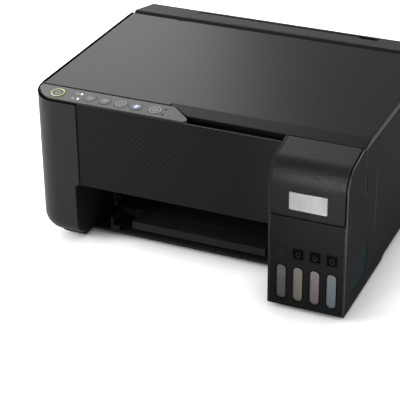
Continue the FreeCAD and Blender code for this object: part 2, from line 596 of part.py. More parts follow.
def ink_tank_block():
    """Four clear chambers, each with a rounded window boss, and a filler neck standing on each."""
    rear = TANK_REAR + "-play"
    front = back("tank_case_t+seam")
    low = BASE_TOP + "+seam"
    high = "tank_top_z-tank_case_t-seam"
    half = "(window_pitch/2-chamber_gap/2)"
    pieces = []
    for middle in window_spots():
        chamber = block("chamber", (middle + "-" + half, middle + "+" + half), (front, rear), (low, high))
        boss = prism("boss", "XZ_Plane", (back("window_in"), front), [
            (middle + "-window_w/2+seam", "window_low+seam"),
            (middle + "+window_w/2-seam", "window_low+seam"),
            (middle + "+window_w/2-seam", "window_high-seam"),
            (middle + "-window_w/2+seam", "window_high-seam")])
        corners = [(middle + x_side, z) for x_side in ("-window_w/2+seam", "+window_w/2-seam")
                   for z in ("window_low+seam", "window_high-seam")]
        fillet(boss, "window_r-seam", "Y", corners)
        neck = rod("neck", "Z", (middle, "neck_y"), (high, "tank_top_z+neck_h"), "neck_r")
        hole = rod("neck_hole", "Z", (middle, "neck_y"), (high, "tank_top_z+2*neck_h"), "neck_bore")
        pieces += [fuse("ink_chamber", [chamber, boss]), cut("filler_neck", neck, [hole])]
    return group("ink_tank_block_shape", pieces)


def tank_cap(middle):
    """Flip cap: a cup over the filler neck on an arm that turns on its own pin."""
    cup = rod("cup", "Z", (middle, "neck_y"), (CAP_LOW, CAP_TOP), "cap_r")
    bore = rod("cup_bore", "Z", (middle, "neck_y"), (CAP_LOW + "-cap_t", CAP_TOP + "-cap_wall"),
               "neck_r+cap_fit")
    arm = block("cap_arm", (middle + "-cap_ear", middle + "+cap_ear"), ("neck_y", CAP_PIN_Y),
                (CAP_TOP + "-2*cap_wall", CAP_TOP))
    eye = rod("cap_eye", "X", (CAP_PIN_Y, CAP_PIN_Z), (middle + "-cap_ear", middle + "+cap_ear"),
              "cap_eye_r")
    reach = "(cap_ear+play+cap_lug_t)"
    pin = rod("cap_pin", "X", (CAP_PIN_Y, CAP_PIN_Z),
              ("%s-%s" % (middle, reach), "%s+%s" % (middle, reach)),
              "cap_pin_r")
    tab = block("cap_tab", (middle + "-cap_tab_w/2", middle + "+cap_tab_w/2"),
                ("neck_y-cap_r-cap_tab", "neck_y-neck_r-cap_fit"), (CAP_TOP + "-cap_wall", CAP_TOP))
    return cut("tank_cap_shape", fuse("cap_whole", [cup, arm, eye, pin, tab]), [bore])


def tank_cover():
    """Curved cover over the filler deck: a moulded shell that turns on two trunnions at its lower edge."""
    cover = new_body("tank_cover_shape")
    pad(cover, "YZ_Plane", (COVER_L, COVER_R), cover_outline(COVER_AXIS_Z, "0") + [
        (back("cover_rear"), "cover_lip_z"), (back("cover_t"), COVER_AXIS_Z)])
    inner = cover_outline(COVER_AXIS_Z + "+cover_t/2", "cover_shell")
    pocket(cover, "YZ_Plane", (COVER_L + "+cover_shell", COVER_R + "-cover_shell"), [
        (back("cover_t"), COVER_AXIS_Z + "+cover_t/2"), (back("cover_t"), inner[1][1]),
        (back("cover_rear+play"), inner[2][1]), (back("cover_rear+play"), COVER_AXIS_Z + "+cover_t/2")])
    fillet(cover, "cover_r-cover_t", "X", [(back("cover_t"), inner[1][1])])
    fillet(cover, "cover_r", "X", [(FRONT, "cover_rear_z-cover_rise")])
    pad(cover, "YZ_Plane", (COVER_L, COVER_R), circles=[(COVER_AXIS_Y, COVER_AXIS_Z, "cover_t/2")])
    for low, high in ((COVER_L + "-play-trunnion_len+seam", COVER_L),
                      (COVER_R, COVER_R + "+play+trunnion_len-seam")):
        pad(cover, "YZ_Plane", (low, high), circles=[(COVER_AXIS_Y, COVER_AXIS_Z, "trunnion_r")])
    return cover


def control_panel():
    """Sloping strip along the front left: rounded with the column, swept off at its right end."""
    panel = new_body("panel_strip")
    near = back("cp_front")
    far = back("cp_rear")
    spare = "(corner_r-cp_rear+cp_front)"
    end_lean = "(cp_end_front-cp_end_rear)/(cp_rear-cp_front)"
    spare_x = "cp_end_rear-%s*%s" % (spare, end_lean)
    spare_y = back("cp_rear+" + spare)
    pad(panel, "XY_Plane", ("cp_low", "cp_rear_z+play"), [
        (INSIDE_L, near), ("cp_end_front", near), (spare_x, spare_y), (INSIDE_L, spare_y)])
    fillet(panel, "corner_r-wall-seam", "Z", [(INSIDE_L, near)])
    fillet(panel, "cp_end_r", "Z", [("cp_end_front", near)])
    pocket(panel, "XY_Plane", ("cp_low-wall", "cp_rear_z+wall"), [
        (LEFT, far), ("cp_end_front", far), ("cp_end_front", spare_y + "+wall"), (LEFT, spare_y + "+wall")])
    pocket(panel, "YZ_Plane", (LEFT, "cp_end_front+wall"), [
        (near, "cp_front_z"), (far, "cp_rear_z"), (far, "cp_rear_z+wall"), (near, "cp_rear_z+wall")])
    through = ("cp_low-wall", "cp_rear_z+wall")
    pocket(panel, "XY_Plane", through,
           circles=[(x, back("button_y"), "button_r+button_fit") for x in BUTTONS])
    pocket(panel, "XY_Plane", through, circles=[("power_x", back("button_y"), "power_r+button_fit")])
    pocket(panel, "XY_Plane", through, circles=[(x, y, "light_r") for x, y in LIGHTS])
    bosses = [rod("board_boss", "Z", (x, back("boss_y")), (BOARD_TOP, "cp_low"), "boss_r")
              for x in ("boss_x", "boss_x+boss_step", "boss_x+2*boss_step")]
    return fuse("control_panel_shape", [panel] + bosses)


def panel_top(y):
    """Height of the control panel's sloping face at a place on Y."""
    return "(cp_front_z+((%s)-%s)*(cp_rear_z-cp_front_z)/(cp_rear-cp_front))" % (y, back("cp_front"))


def push_button(x, radius):
    """Button cap level with the sloping panel, with a flange that keeps it in and a stem over its switch."""
    spot = (x, back("button_y"))
    post = rod("button_post", "Z", spot, ("cp_low-button_flange", "body_h"), radius)
    above = prism("button_slope", "YZ_Plane", (x + "-2*" + radius, x + "+2*" + radius), [
        (back("cp_front"), "cp_front_z+button_rise"), (back("cp_rear"), "cp_rear_z+button_rise"),
        (back("cp_rear"), "body_h+wall"), (back("cp_front"), "body_h+wall")])
    cap = cut("button_cap", post, [above])
    flange = rod("button_flange", "Z", spot, ("cp_low-seam-button_flange", "cp_low-seam"),
                 radius + "+button_flange")
    stem = rod("button_stem", "Z", spot, (BOARD_TOP + "+button_travel+seam", "cp_low-button_flange"),
               "button_stem_r")
    return fuse("push_button_shape", [cap, flange, stem])


def indicator_lights():
    """Small round light pipes in the panel."""
    return group("indicator_lights_shape", [
        rod("light", "Z", (x, y), (BOARD_TOP, panel_top(y) + "+light_rise"), "light_r-run_fit")
        for x, y in LIGHTS])


def panel_board():
    """Circuit board with the switches, under the control panel."""
    return block("panel_board_shape", ("board_left", "board_right"),
                 (back("cp_front+wall"), back("cp_rear")),
                 (BOARD_TOP + "-board_t", BOARD_TOP))


def scanner_tub():
    """Open tub of the scanner unit with two hinge arms; its right side runs down to the sloping seam."""
    shell = cut("tub_shell",
                block("tub_outer", (LEFT, RIGHT), ("tub_front", "tub_rear"), ("waist_z", "frame_low")),
                [block("tub_inner", (LEFT + "+tub_t", RIGHT + "-tub_t"),
                       ("tub_front+tub_t", "tub_rear-tub_t"),
                       ("waist_z+tub_t", "body_h"))])
    left = block("tub_left", (LEFT, LEFT + "+tub_t"), ("tub_front", "tub_rear"), ("frame_low", "frame_top"))
    corner_y = "(side_front+side_lean)"
    corner_z = "seam_z+seam+(%s+body_d/2-seam_flat)*(waist_z-seam_z)/(seam_end-seam_flat)" % corner_y
    right = prism("tub_right", "YZ_Plane", (RIGHT + "-tub_t", RIGHT), [
        ("side_front", "frame_low"), (corner_y, corner_z), (back("seam_end"), "waist_z"),
        ("tub_rear", "waist_z"),
        ("tub_rear", "frame_top"), ("side_front", "frame_top")])
    arms = []
    bores = []
    for side in ("-1", "1"):
        x = hinge_span("%s*scan_arm_x" % side, "scan_arm_w/2")
        arms.append(block("scan_arm", x, ("tub_rear", "scan_pin_y"),
                          (SCAN_LOW + "-2*scan_arm_r", SCAN_HIGH)))
        arms.append(rod("scan_eye", "X", ("scan_pin_y", "scan_pin_z"), x, "scan_arm_r"))
        bores.append(rod("scan_bore", "X", ("scan_pin_y", "scan_pin_z"), x, "hinge_pin_r+run_fit"))
    for x in (LEFT + "+tub_t", RIGHT + "-tub_t-post_w"):
        arms.append(block("rod_post", (x, x + "+post_w"), ("cis_rod_y-cis_bush_r", "cis_rod_y+cis_bush_r"),
                          ("waist_z+tub_t", "cis_rod_z+cis_rod_r+tub_t")))
    bores.append(rod("rod_hole", "X", ("cis_rod_y", "cis_rod_z"), (LEFT + "+tub_t", RIGHT + "-tub_t"),
                     "cis_rod_r"))
    return cut("scanner_tub_shape", fuse("tub_whole", [shell, left, right] + arms), bores)


def hinge_span(middle, half):
    return ("%s-%s" % (middle, half), "%s+%s" % (middle, half))


def scanner_frame():
    """Top frame round the glass, with a ledge for it and the two lugs and pins of the lid."""
    outer = block("frame_outer", (LEFT + "+tub_t+seam", RIGHT + "-tub_t-seam"), ("frame_front", "tub_rear"),
                  ("frame_low", "frame_top"))
    window = block("frame_window", ("scan_left+glass_lap", "scan_right-glass_lap"),
                   ("scan_front+glass_lap", "scan_rear-glass_lap"), ("frame_low-wall", "frame_top+wall"))
    seat = block("glass_seat", ("scan_left", "scan_right"), ("scan_front", "scan_rear"),
                 ("frame_top-glass_t", "frame_top+wall"))
    parts = [cut("frame_plate", outer, [window, seat])]
    for side in ("-1", "1"):
        middle = "%s*hinge_x" % side
        x = hinge_span(middle, "hinge_w/2")
        eye = ("lid_pin_y-lid_lug_r", "lid_pin_y+lid_lug_r")
        parts.append(block("lid_lug", x, (eye[0], "tub_rear"), ("frame_low", "lid_pin_z")))
        parts.append(rod("lid_eye", "X", ("lid_pin_y", "lid_pin_z"), x, "lid_lug_r"))
        parts.append(rod("lid_pin", "X", ("lid_pin_y", "lid_pin_z"),
                         hinge_span(middle, "(hinge_w/2+pin_reach)"),
                         "hinge_pin_r"))
    return fuse("scanner_frame_shape", parts)


def scanner_glass():
    return block("scanner_glass_shape", ("scan_left+seam", "scan_right-seam"),
                 ("scan_front+seam", "scan_rear-seam"),
                 ("frame_top-glass_t", "frame_top-run_fit"))


def scan_bar():
    """Sensor bar under the glass, carried by a bush on the rod."""
    x = ("cis_home-cis_w/2", "cis_home+cis_w/2")
    bar = block("scan_bar_box", x, ("scan_front+2*glass_lap", "scan_rear-2*glass_lap"),
                ("cis_low", "cis_top"))
    slot = block("scan_bar_lens", ("cis_home-cis_slot/2", "cis_home+cis_slot/2"),
                 ("scan_front+4*glass_lap", "scan_rear-4*glass_lap"),
                 ("cis_top-cis_slot/2", "cis_top+wall"))
    bush = rod("scan_bush", "X", ("cis_rod_y", "cis_rod_z"), x, "cis_bush_r")
    bore = rod("scan_bush_bore", "X", ("cis_rod_y", "cis_rod_z"), x, "cis_rod_r+run_fit")
    return cut("scan_bar_shape", fuse("scan_bar_whole", [bar, bush]), [bore, slot])


def scan_rod():
    return rod("scan_rod_shape", "X", ("cis_rod_y", "cis_rod_z"), (LEFT + "+tub_t", RIGHT + "-tub_t"),
               "cis_rod_r")


def lid_cover():
    """Lid: swept front edge with a slope down to the finger recess, hollow below, notched for the lugs."""
    lid = new_body("lid_shell")
    left_y = back("lid_front_left")
    right_y = back("lid_front_right")
    rear_y = "lid_rear"
    sweep_end = "lid_sweep_x+lid_sweep_len"
    pad(lid, "XY_Plane", ("lid_low", "body_h"), [
        (LEFT, left_y), ("lid_sweep_x", left_y), (sweep_end, right_y), (RIGHT, right_y), (RIGHT, rear_y),
        (LEFT, rear_y)])
    fillet(lid, "lid_sweep_r", "Z", [("lid_sweep_x", left_y), (sweep_end, right_y)])
    fillet(lid, "lid_corner_r", "Z", [(LEFT, rear_y), (RIGHT, rear_y)])
    fillet(lid, "lid_front_r", "Z", [(LEFT, left_y), (RIGHT, right_y)])
    pocket(lid, "YZ_Plane", ("lid_sweep_x-lid_sweep_r/3", RIGHT + "+wall"), [
        (right_y, "lid_front_z"), (back("lid_crease"), "body_h"), (back("lid_crease"), "body_h+wall"),
        (right_y, "body_h+wall")])
    pocket(lid, "XY_Plane", ("lid_low-wall", "body_h-lid_skin"), [
        (LEFT + "+lid_pocket_in", back("lid_crease")), (RIGHT + "-lid_pocket_in", back("lid_crease")),
        (RIGHT + "-lid_pocket_in", rear_y + "-lid_pocket_in"),
        (LEFT + "+lid_pocket_in", rear_y + "-lid_pocket_in")])
    pocket(lid, "YZ_Plane", (LEFT + "-wall", RIGHT + "+wall"), [
        (rear_y + "-lid_rear_r", "body_h"), (rear_y, "body_h-lid_rear_r"), (rear_y, "body_h")])
    tools = []
    for side in ("-1", "1"):
        middle = "%s*hinge_x" % side
        tools.append(block("lid_notch", hinge_span(middle, "(hinge_w/2+play)"),
                           ("lid_pin_y-lid_lug_r-play", rear_y + "+wall"), ("lid_low-wall", "body_h+wall")))
        tools.append(rod("lid_bore", "X", ("lid_pin_y", "lid_pin_z"),
                         hinge_span(middle, "(hinge_w/2+pin_reach+play)"),
                         "hinge_pin_r+run_fit"))
    return cut("lid_cover_shape", lid, tools)


def lid_pad():
    """White pad that presses the original on the glass."""
    return block("lid_pad_shape", ("scan_left", "scan_right"),
                 ("scan_front", "lid_rear-lid_pocket_in-play"),
                 ("body_h-lid_skin-pad_t", "body_h-lid_skin"))


def output_tray():
    """Flat sleeve that slides out of the slot."""
    z = ("tray_low", "tray_low+tray_t")
    sleeve = block("tray_sleeve", ("tray_left", "tray_right"), ("tray_front", "tray_rear"), z)
    hollow = block("tray_hollow", ("tray_left+ext_in-play", "tray_right-ext_in+play"),
                   ("tray_front-wall", "tray_rear-tray_wall"),
                   ("tray_low+tray_wall", "tray_low+tray_t-tray_wall"))
    grooves = []
    for i in range(int(number("groove_n"))):
        middle = "tray_left+(%d+0.5)*(tray_right-tray_left)/groove_n" % i
        grooves.append(block("tray_groove", hinge_span(middle, "groove_w/2"),
                             ("tray_front+ext_in", "tray_rear-ext_in"),
                             ("tray_low+tray_t-groove_deep", "tray_low+tray_t+wall")))
    return cut("output_tray_shape", sleeve, [hollow] + grooves)


def tray_extension():
    """Second stage of the tray: a tongue in the sleeve and a head with the stopper's seat."""
    x = ("tray_left+ext_in", "tray_right-ext_in")
    z = ("tray_low+tray_wall+play", "tray_low+tray_t-tray_wall-play")
    tongue = block("ext_tongue", x, ("tray_front-head_len+play", "tray_rear-ext_gap"), z)
    head = block("ext_head", x, ("tray_front-head_len", "tray_front-play"), ("tray_low", "tray_low+tray_t"))
    seat = block("stop_seat", hinge_span(TRAY_X, "(stop_w/2+play)"),
                 ("tray_front-head_len+wall", "tray_front-play-wall"),
                 ("tray_low+tray_t-stop_t-play", "tray_low+2*tray_t"))
    bore = rod("stop_bore", "X", (STOP_Y, STOP_Z), hinge_span(TRAY_X, "(stop_w/2+play+stop_pin)"),
               "stop_pin_r+run_fit")
    return cut("tray_extension_shape", fuse("ext_whole", [tongue, head]), [seat, bore])


def paper_stopper():
    """Flap that stands up at the end of the tray."""
    x = hinge_span(TRAY_X, "stop_w/2")
    flap = block("stop_flap", x, (STOP_Y, "tray_front-play-wall-play"),
                 ("tray_low+tray_t-stop_t", "tray_low+tray_t"))
    knuckle = rod("stop_knuckle", "X", (STOP_Y, STOP_Z), x, "stop_t/2")
    pin = rod("stop_pin", "X", (STOP_Y, STOP_Z), hinge_span(TRAY_X, "(stop_w/2+stop_pin)"), "stop_pin_r")
    return fuse("paper_stopper_shape", [flap, knuckle, pin])


def main_frame():
    """Folded metal frame: two side plates with bearings, a rail plate between them and the idler's pin."""
    y = ("frame_y0", "frame_y1")
    z = (BASE_TOP, "frame_h")
    left = ("frame_left", "frame_left+sheet_t")
    right = ("frame_right", "frame_right+sheet_t")
    foot_z = (BASE_TOP, BASE_TOP + "+sheet_t")
    parts = [
        block("plate_left", left, y, z), block("plate_right", right, y, z),
        block("foot_left", ("frame_left", "frame_left+frame_foot"), y, foot_z),
        block("foot_right", ("frame_right-frame_foot", "frame_right"), y, foot_z),
        block("rail", ("frame_left", "frame_right+sheet_t"), ("rail_y", "rail_y+sheet_t"),
              ("rail_z0", "frame_h")),
        block("rail_flange", ("frame_left", "frame_right+sheet_t"), ("rail_y-rail_flange", "rail_y"),
              ("frame_h-sheet_t", "frame_h")),
        rod("idler_pin", "Y", ("pulley_x1", "belt_z"), (PULLEY_Y0, "rail_y"), "motor_shaft_r"),
    ]
    whole = ("frame_left-sheet_t", "frame_right+3*sheet_t")
    holes = [
        rod("rod_hole", "X", ("rod_y", "rod_z"), whole, "rod_r"),
        rod("feed_hole", "X", ("feed_y", "feed_z"), whole, "shaft_r+run_fit"),
        rod("exit_hole", "X", (EXIT_Y, "feed_z"), whole, "shaft_r+run_fit"),
        rod("star_hole", "X", (EXIT_Y, STAR_Z), whole, "star_shaft_r+run_fit"),
        rod("motor_hole", "X", (PINION_Y, PINION_Z), ("frame_left-sheet_t", "frame_left+2*sheet_t"),
            "pinion_hole_r"),
        rod("shaft_hole", "Y", ("pulley_x0", "belt_z"), ("rail_y-sheet_t", "rail_y+2*sheet_t"),
            "pinion_hole_r"),
    ]
    stub = rod("idler_stub", "X", (IDLER_Y, "feed_z"), (GEAR_X0, "frame_left"), "shaft_r")
    return fuse("main_frame_shape", [cut("frame_plates", fuse("frame_whole", parts), holes), stub])


def guide_rod():
    return rod("guide_rod_shape", "X", ("rod_y", "rod_z"), ("frame_left", "frame_right+sheet_t"), "rod_r")


def print_carriage():
    """Carriage: an open box with a bush on the guide rod and a clip by the belt."""
    x = hinge_span("carriage_home", "carriage_w/2")
    y = ("carriage_y0", "carriage_y1")
    outer = block("carriage_box", x, y, ("carriage_low", "carriage_top"))
    inner = block("carriage_bay", hinge_span("carriage_home", "(carriage_w/2-carriage_t)"),
                  ("carriage_y0+carriage_t", "carriage_y1-carriage_t"),
                  ("carriage_low+carriage_t", "frame_h"))
    bush = rod("carriage_bush", "X", ("rod_y", "rod_z"), x, "bush_r")
    saddle = block("carriage_saddle", x, ("carriage_y1-carriage_t", "rod_y"),
                   ("rod_z-bush_r", "rod_z+bush_r"))
    bore = rod("carriage_bore", "X", ("rod_y", "rod_z"), x, "rod_r+run_fit")
    walls = [block("bay_wall", hinge_span("carriage_home+(%s)*carriage_w/4" % i, "carriage_t/4"),
                   ("carriage_y0+carriage_t", "carriage_y1-carriage_t"),
                   ("carriage_low", "carriage_top-carriage_w/4"))
             for i in ("-1", "0", "1")]
    box = cut("carriage_open", outer, [inner])
    return cut("print_carriage_shape", fuse("carriage_whole", [box, saddle, bush] + walls), [bore])


def print_head():
    return block("print_head_shape", hinge_span("carriage_home", "head_w/2"), ("head_y0", "head_y1"),
                 ("head_low", "carriage_low"))


def loop_solid(name, radius):
    """Solid inside a belt loop of the given radius."""
    y = ("belt_y", "belt_y+belt_w")
    ends = [rod(name + "_end", "Y", (x, "belt_z"), y, radius) for x in ("pulley_x0", "pulley_x1")]
    span = block(name + "_span", ("pulley_x0", "pulley_x1"), y,
                 ("belt_z-(%s)" % radius, "belt_z+(%s)" % radius))
    return fuse(name, ends + [span])


def timing_belt():
    return cut("timing_belt_shape", loop_solid("belt_outer", "pulley_r+seam+belt_t"),
               [loop_solid("belt_inner", "pulley_r+seam")])


def belt_pulley(x):
    """Flanged pulley on a short shaft."""
    drum = rod("drum", "Y", (x, "belt_z"), (PULLEY_Y0, PULLEY_Y1), "pulley_r")
    lips = [rod("lip", "Y", (x, "belt_z"), span, "pulley_r+belt_t+seam")
            for span in ((PULLEY_Y0, PULLEY_Y0 + "+pulley_lip"), (PULLEY_Y1 + "-pulley_lip", PULLEY_Y1))]
    bore = rod("pulley_bore", "Y", (x, "belt_z"), (PULLEY_Y0 + "-wall", PULLEY_Y1 + "+wall"),
               "motor_shaft_r+run_fit")
    return cut("belt_pulley_shape", fuse("pulley_whole", [drum] + lips), [bore])


def carriage_motor():
    can = rod("carriage_can", "Y", ("pulley_x0", "belt_z"), ("rail_y+sheet_t", "rail_y+sheet_t+motor_len"),
              "motor_r")
    shaft = rod("carriage_shaft", "Y", ("pulley_x0", "belt_z"), (PULLEY_Y0, "rail_y+2*sheet_t"),
                "motor_shaft_r")
    return fuse("carriage_motor_shape", [can, shaft])


def feed_motor():
    can = rod("feed_can", "X", (PINION_Y, PINION_Z),
              ("frame_left+sheet_t", "frame_left+sheet_t+motor_len"), "motor_r")
    shaft = rod("feed_shaft", "X", (PINION_Y, PINION_Z), (GEAR_X0, "frame_left+2*sheet_t"), "motor_shaft_r")
    return fuse("feed_motor_shape", [can, shaft])


def gear(name, teeth, y, z, turn):
    """Toothed wheel on an X axis: one straight-flanked tooth patterned round a disc."""
    wheel = new_body(name)
    pitch = "(gear_module*%s/2)" % teeth
    root = "(%s-root_share*gear_module)" % pitch
    tip = "(%s+tip_share*gear_module)" % pitch
    width = (GEAR_X0, GEAR_X1)
    pad(wheel, "YZ_Plane", width, circles=[("0", "0", root)])
    base_half = "tooth_w*gear_module"
    tip_half = "tooth_tip*gear_module"
    tooth = pad(wheel, "YZ_Plane", width, [
        (root + "-gear_module/2", "-" + base_half), (tip, "-" + tip_half), (tip, tip_half),
        (root + "-gear_module/2", base_half)])
    doc.recompute()
    ring = wheel.newObject("PartDesign::PolarPattern", name + "_teeth")
    ring.Originals = [tooth]
    axis = next(item for item in wheel.Origin.OriginFeatures if item.Role == "X_Axis")
    ring.Axis = (axis, [""])
    ring.Angle = 360
    ring.setExpression("Occurrences", linked(teeth))
    wheel.Tip = ring
    wheel.Placement = FreeCAD.Placement(FreeCAD.Vector(), FreeCAD.Rotation(FreeCAD.Vector(1, 0, 0), 0))
    wheel.setExpression("Placement.Base.y", linked(y))
    wheel.setExpression("Placement.Base.z", linked(z))
    wheel.setExpression("Placement.Rotation.Angle", linked(turn))
    return wheel


def roller(name, y, radius, pieces):
    """Shaft in the frame's bearings with rubber sleeves along the paper's width and a gear at its end."""
    shaft = rod(name + "_shaft", "X", (y, "feed_z"), (GEAR_X0, "frame_right+sheet_t+wall"), "shaft_r")
    sleeves = []
    for i in range(int(number("sleeve_n"))):
        middle = PAPER_X + "+(%d-(sleeve_n-1)/2)*star_pitch" % i
        sleeves.append(rod(name + "_sleeve", "X", (y, "feed_z"), hinge_span(middle, "sleeve_w/2"), radius))
    return fuse(name + "_shape", [shaft] + sleeves + pieces)


def feed_roller():
    return roller("feed_roller", "feed_y", "feed_r",
                  [gear("feed_gear", "gear_teeth", "feed_y", "feed_z", "0")])


def exit_roller():
    return roller("exit_roller", EXIT_Y, "exit_r", [gear("exit_gear", "gear_teeth", EXIT_Y, "feed_z", "0")])


def idler_gear():
    wheel = gear("idler_wheel", "idler_teeth", IDLER_Y, "feed_z", "180/idler_teeth")
    bore = rod("idler_bore", "X", (IDLER_Y, "feed_z"), (GEAR_X0 + "-wall", GEAR_X1 + "+wall"),
               "shaft_r+run_fit")
    return cut("idler_gear_shape", wheel, [bore])


def feed_pinion():
    turn = "180-pinion_drop+180/pinion_teeth"
    wheel = gear("pinion_wheel", "pinion_teeth", PINION_Y, PINION_Z, turn)
    bore = rod("pinion_bore", "X", (PINION_Y, PINION_Z), (GEAR_X0 + "-wall", GEAR_X1 + "+wall"),
               "motor_shaft_r+run_fit")
    return cut("feed_pinion_shape", wheel, [bore])


def star_wheels():
    """Shaft of thin wheels that hold the print down on the exit roller."""
    shaft = rod("star_shaft", "X", (EXIT_Y, STAR_Z), ("frame_left-gear_gap/2", "frame_right+sheet_t+wall"),
                "star_shaft_r")
    wheels = []
    for i in range(int(number("sleeve_n"))):
        middle = PAPER_X + "+(%d-(sleeve_n-1)/2)*star_pitch" % i
        wheels.append(rod("star", "X", (EXIT_Y, STAR_Z), hinge_span(middle, "star_w/2"), "star_r"))
    return fuse("star_wheels_shape", [shaft] + wheels)


def platen():
    """Ribbed support under the print head, on two legs beside the tray."""
    x = ("frame_left+sheet_t+seam", "station_x0-seam")
    parts = [block("platen_plate", x, ("platen_y0", "platen_y1"), ("platen_top-platen_t", "platen_top"))]
    for i in range(int(number("rib_n"))):
        middle = "frame_left+(%d+1)*(station_x0-frame_left)/(rib_n+1)" % i
        parts.append(block("platen_rib", hinge_span(middle, "rib_w/2"), ("platen_y0", "platen_y1"),
                           ("platen_top", "platen_top+rib_h")))
    parts.append(block("platen_skirt", x, ("platen_y0", "platen_y0+platen_t"),
                       ("tray_low+tray_t+wall", "platen_top")))
    parts.append(block("platen_leg", ("tray_left-rail_w-2*platen_leg", "tray_left-rail_w-platen_leg"),
                       ("platen_y0", "platen_y1"), (BASE_TOP, "platen_top")))
    return fuse("platen_shape", parts)


def maintenance_station():
    """Capping and wiping station under the carriage's home, hung on the right side plate."""
    box = block("station_box", ("station_x0", "frame_right-seam"), ("platen_y0", "platen_y1"),
                ("tray_low+tray_t+wall", "platen_top"))
    wells = [block("station_well", hinge_span("carriage_home+(%s)*head_w/4" % side, "head_w/6"),
                   ("head_y0", "head_y1"),
                   ("platen_top-well_deep", "platen_top+wall")) for side in ("-1", "1")]
    return cut("maintenance_station_shape", box, wells)


def hopper_face(z):
    """Place on Y of the hopper's sloping front at a height."""
    return "hopper_y+((%s)-hopper_z)*feed_slope" % z


def strip_top(y):
    """Height of the rear strip's sloping top at a place on Y."""
    return "body_h-strip_slope*((%s)-strip_front)" % y


def leaning(name, x, low, high, near, far):
    """Plate parallel to the hopper between two heights, with its two faces given from the hopper's front."""
    return prism(name, "YZ_Plane", x, [
        (hopper_face(low) + near, low), (hopper_face(low) + far, low),
        (hopper_face(high) + far, high), (hopper_face(high) + near, high)])


def feeder_housing():
    """Rear part of the body: sloping strip with the paper slot, inner walls and the scanner's hinge pins."""
    bevel_y = "(strip_front+strip_bevel)"
    strip = prism("strip", "YZ_Plane", (LEFT, RIGHT), [
        ("strip_front", "body_h-strip_bevel"), (bevel_y, strip_top(bevel_y)),
        (INSIDE_REAR, strip_top(INSIDE_REAR)), (INSIDE_REAR, strip_top(INSIDE_REAR) + "-strip_t"),
        ("strip_front+wall", strip_top("strip_front+wall") + "-strip_t"),
        ("strip_front+wall", "waist_z"), ("strip_front", "waist_z")])
    slot = block("feed_slot", ("feed_left", "feed_right"), ("feed_front", INSIDE_REAR + "-wall"),
                 ("waist_z", "body_h"))
    parts = []
    for low, high in ((LEFT, LEFT + "+wall"), (RIGHT + "-wall", RIGHT)):
        parts.append(prism("strip_end", "YZ_Plane", (low, high), [
            ("strip_front", "waist_z"), (INSIDE_REAR, "waist_z"), (INSIDE_REAR, strip_top(INSIDE_REAR)),
            (bevel_y, strip_top(bevel_y)), ("strip_front", "body_h-strip_bevel")]))
    for low, high in (("feed_left-wall", "feed_left"), ("feed_right", "feed_right+wall")):
        parts.append(prism("feed_wall", "YZ_Plane", (low, high), [
            ("feed_wall_y", BASE_TOP), (INSIDE_REAR, BASE_TOP), (INSIDE_REAR, strip_top(INSIDE_REAR)),
            (bevel_y, strip_top(bevel_y)), ("strip_front", "body_h-strip_bevel"), ("strip_front", SIDE_TOP),
            ("feed_wall_y", SIDE_TOP)]))
    parts.append(block("paper_ramp", ("feed_left-wall", "feed_right+wall"),
                       ("feed_y+2*feed_r", hopper_face("feed_z") + "-ramp_gap"),
                       ("feed_z", "feed_z+ramp_t")))
    notches = [rod("guard_bore", "X", (GUARD_Y, GUARD_Z), ("feed_left-wall", "feed_right+wall"),
                   "guard_pin_r+run_fit"),
               rod("pick_bore", "X", (PICK_Y, "pick_z"), ("feed_left-2*wall", "feed_right+2*wall"),
                   "shaft_r+run_fit")]
    pins = []
    for side in ("-1", "1"):
        middle = "%s*scan_arm_x" % side
        notches.append(block("arm_notch", hinge_span(middle, "(scan_arm_w/2+play)"),
                             ("strip_front-wall", "strip_front+2*wall"),
                             (SCAN_LOW + "-wall", SCAN_HIGH + "+wall")))
        for low, high in (("-scan_arm_w/2-play-lug_t", "-scan_arm_w/2-play"),
                          ("scan_arm_w/2+play", "scan_arm_w/2+play+lug_t")):
            pins.append(block("arm_lug", (middle + "+" + low, middle + "+" + high),
                              ("scan_pin_y-lug_nose", "strip_front+wall"),
                              (SCAN_LOW, SCAN_HIGH)))
        pins.append(rod("arm_pin", "X", ("scan_pin_y", "scan_pin_z"),
                        hinge_span(middle, "(scan_arm_w/2+play+lug_t)"),
                        "hinge_pin_r"))
    whole = fuse("housing_whole", [cut("strip_open", strip, [slot])] + parts)
    return fuse("feeder_housing_shape", [cut("housing_cut", whole, notches)] + pins)


def hopper():
    """Sloping plate that carries the paper stack."""
    return leaning("hopper_shape", ("feed_left+seam", "feed_right-seam"), "support_low", "hopper_top", "",
                   "+hopper_t")


def paper_support():
    """Sliding back rest behind the hopper with a finger notch in its upper edge."""
    rest = leaning("support_plate", ("feed_left+play", "feed_right-play"), "support_low", "support_top",
                   "+hopper_t+support_gap", "+hopper_t+support_gap+support_t")
    notch = block("support_notch", hinge_span("notch_x", "notch_w/2"), ("feed_front", REAR),
                  ("support_top-notch_h", "body_h"))
    return cut("paper_support_shape", rest, [notch])


def edge_guide(x):
    """Upright fence for the paper's edge."""
    return leaning("edge_guide_shape", x, "guide_low", "guide_top", "-guide_reach", "-seam")


def feeder_guard():
    """Flap over the paper slot, turning on two end pins at its front edge."""
    near = "(feed_front+guard_gap)"
    far = "(feed_front+guard_gap+guard_len)"
    x = ("feed_left+play", "feed_right-play")
    flap = prism("guard_flap", "YZ_Plane", x, [
        (near, strip_top(near)), (far, strip_top(far)), (far, strip_top(far) + "-guard_t"),
        (near, strip_top(near) + "-guard_t")])
    knuckle = rod("guard_knuckle", "X", (GUARD_Y, GUARD_Z), x, "guard_t/2")
    pin = rod("guard_pin", "X", (GUARD_Y, GUARD_Z), ("feed_left-wall", "feed_right+wall"), "guard_pin_r")
    return fuse("feeder_guard_shape", [flap, knuckle, pin])


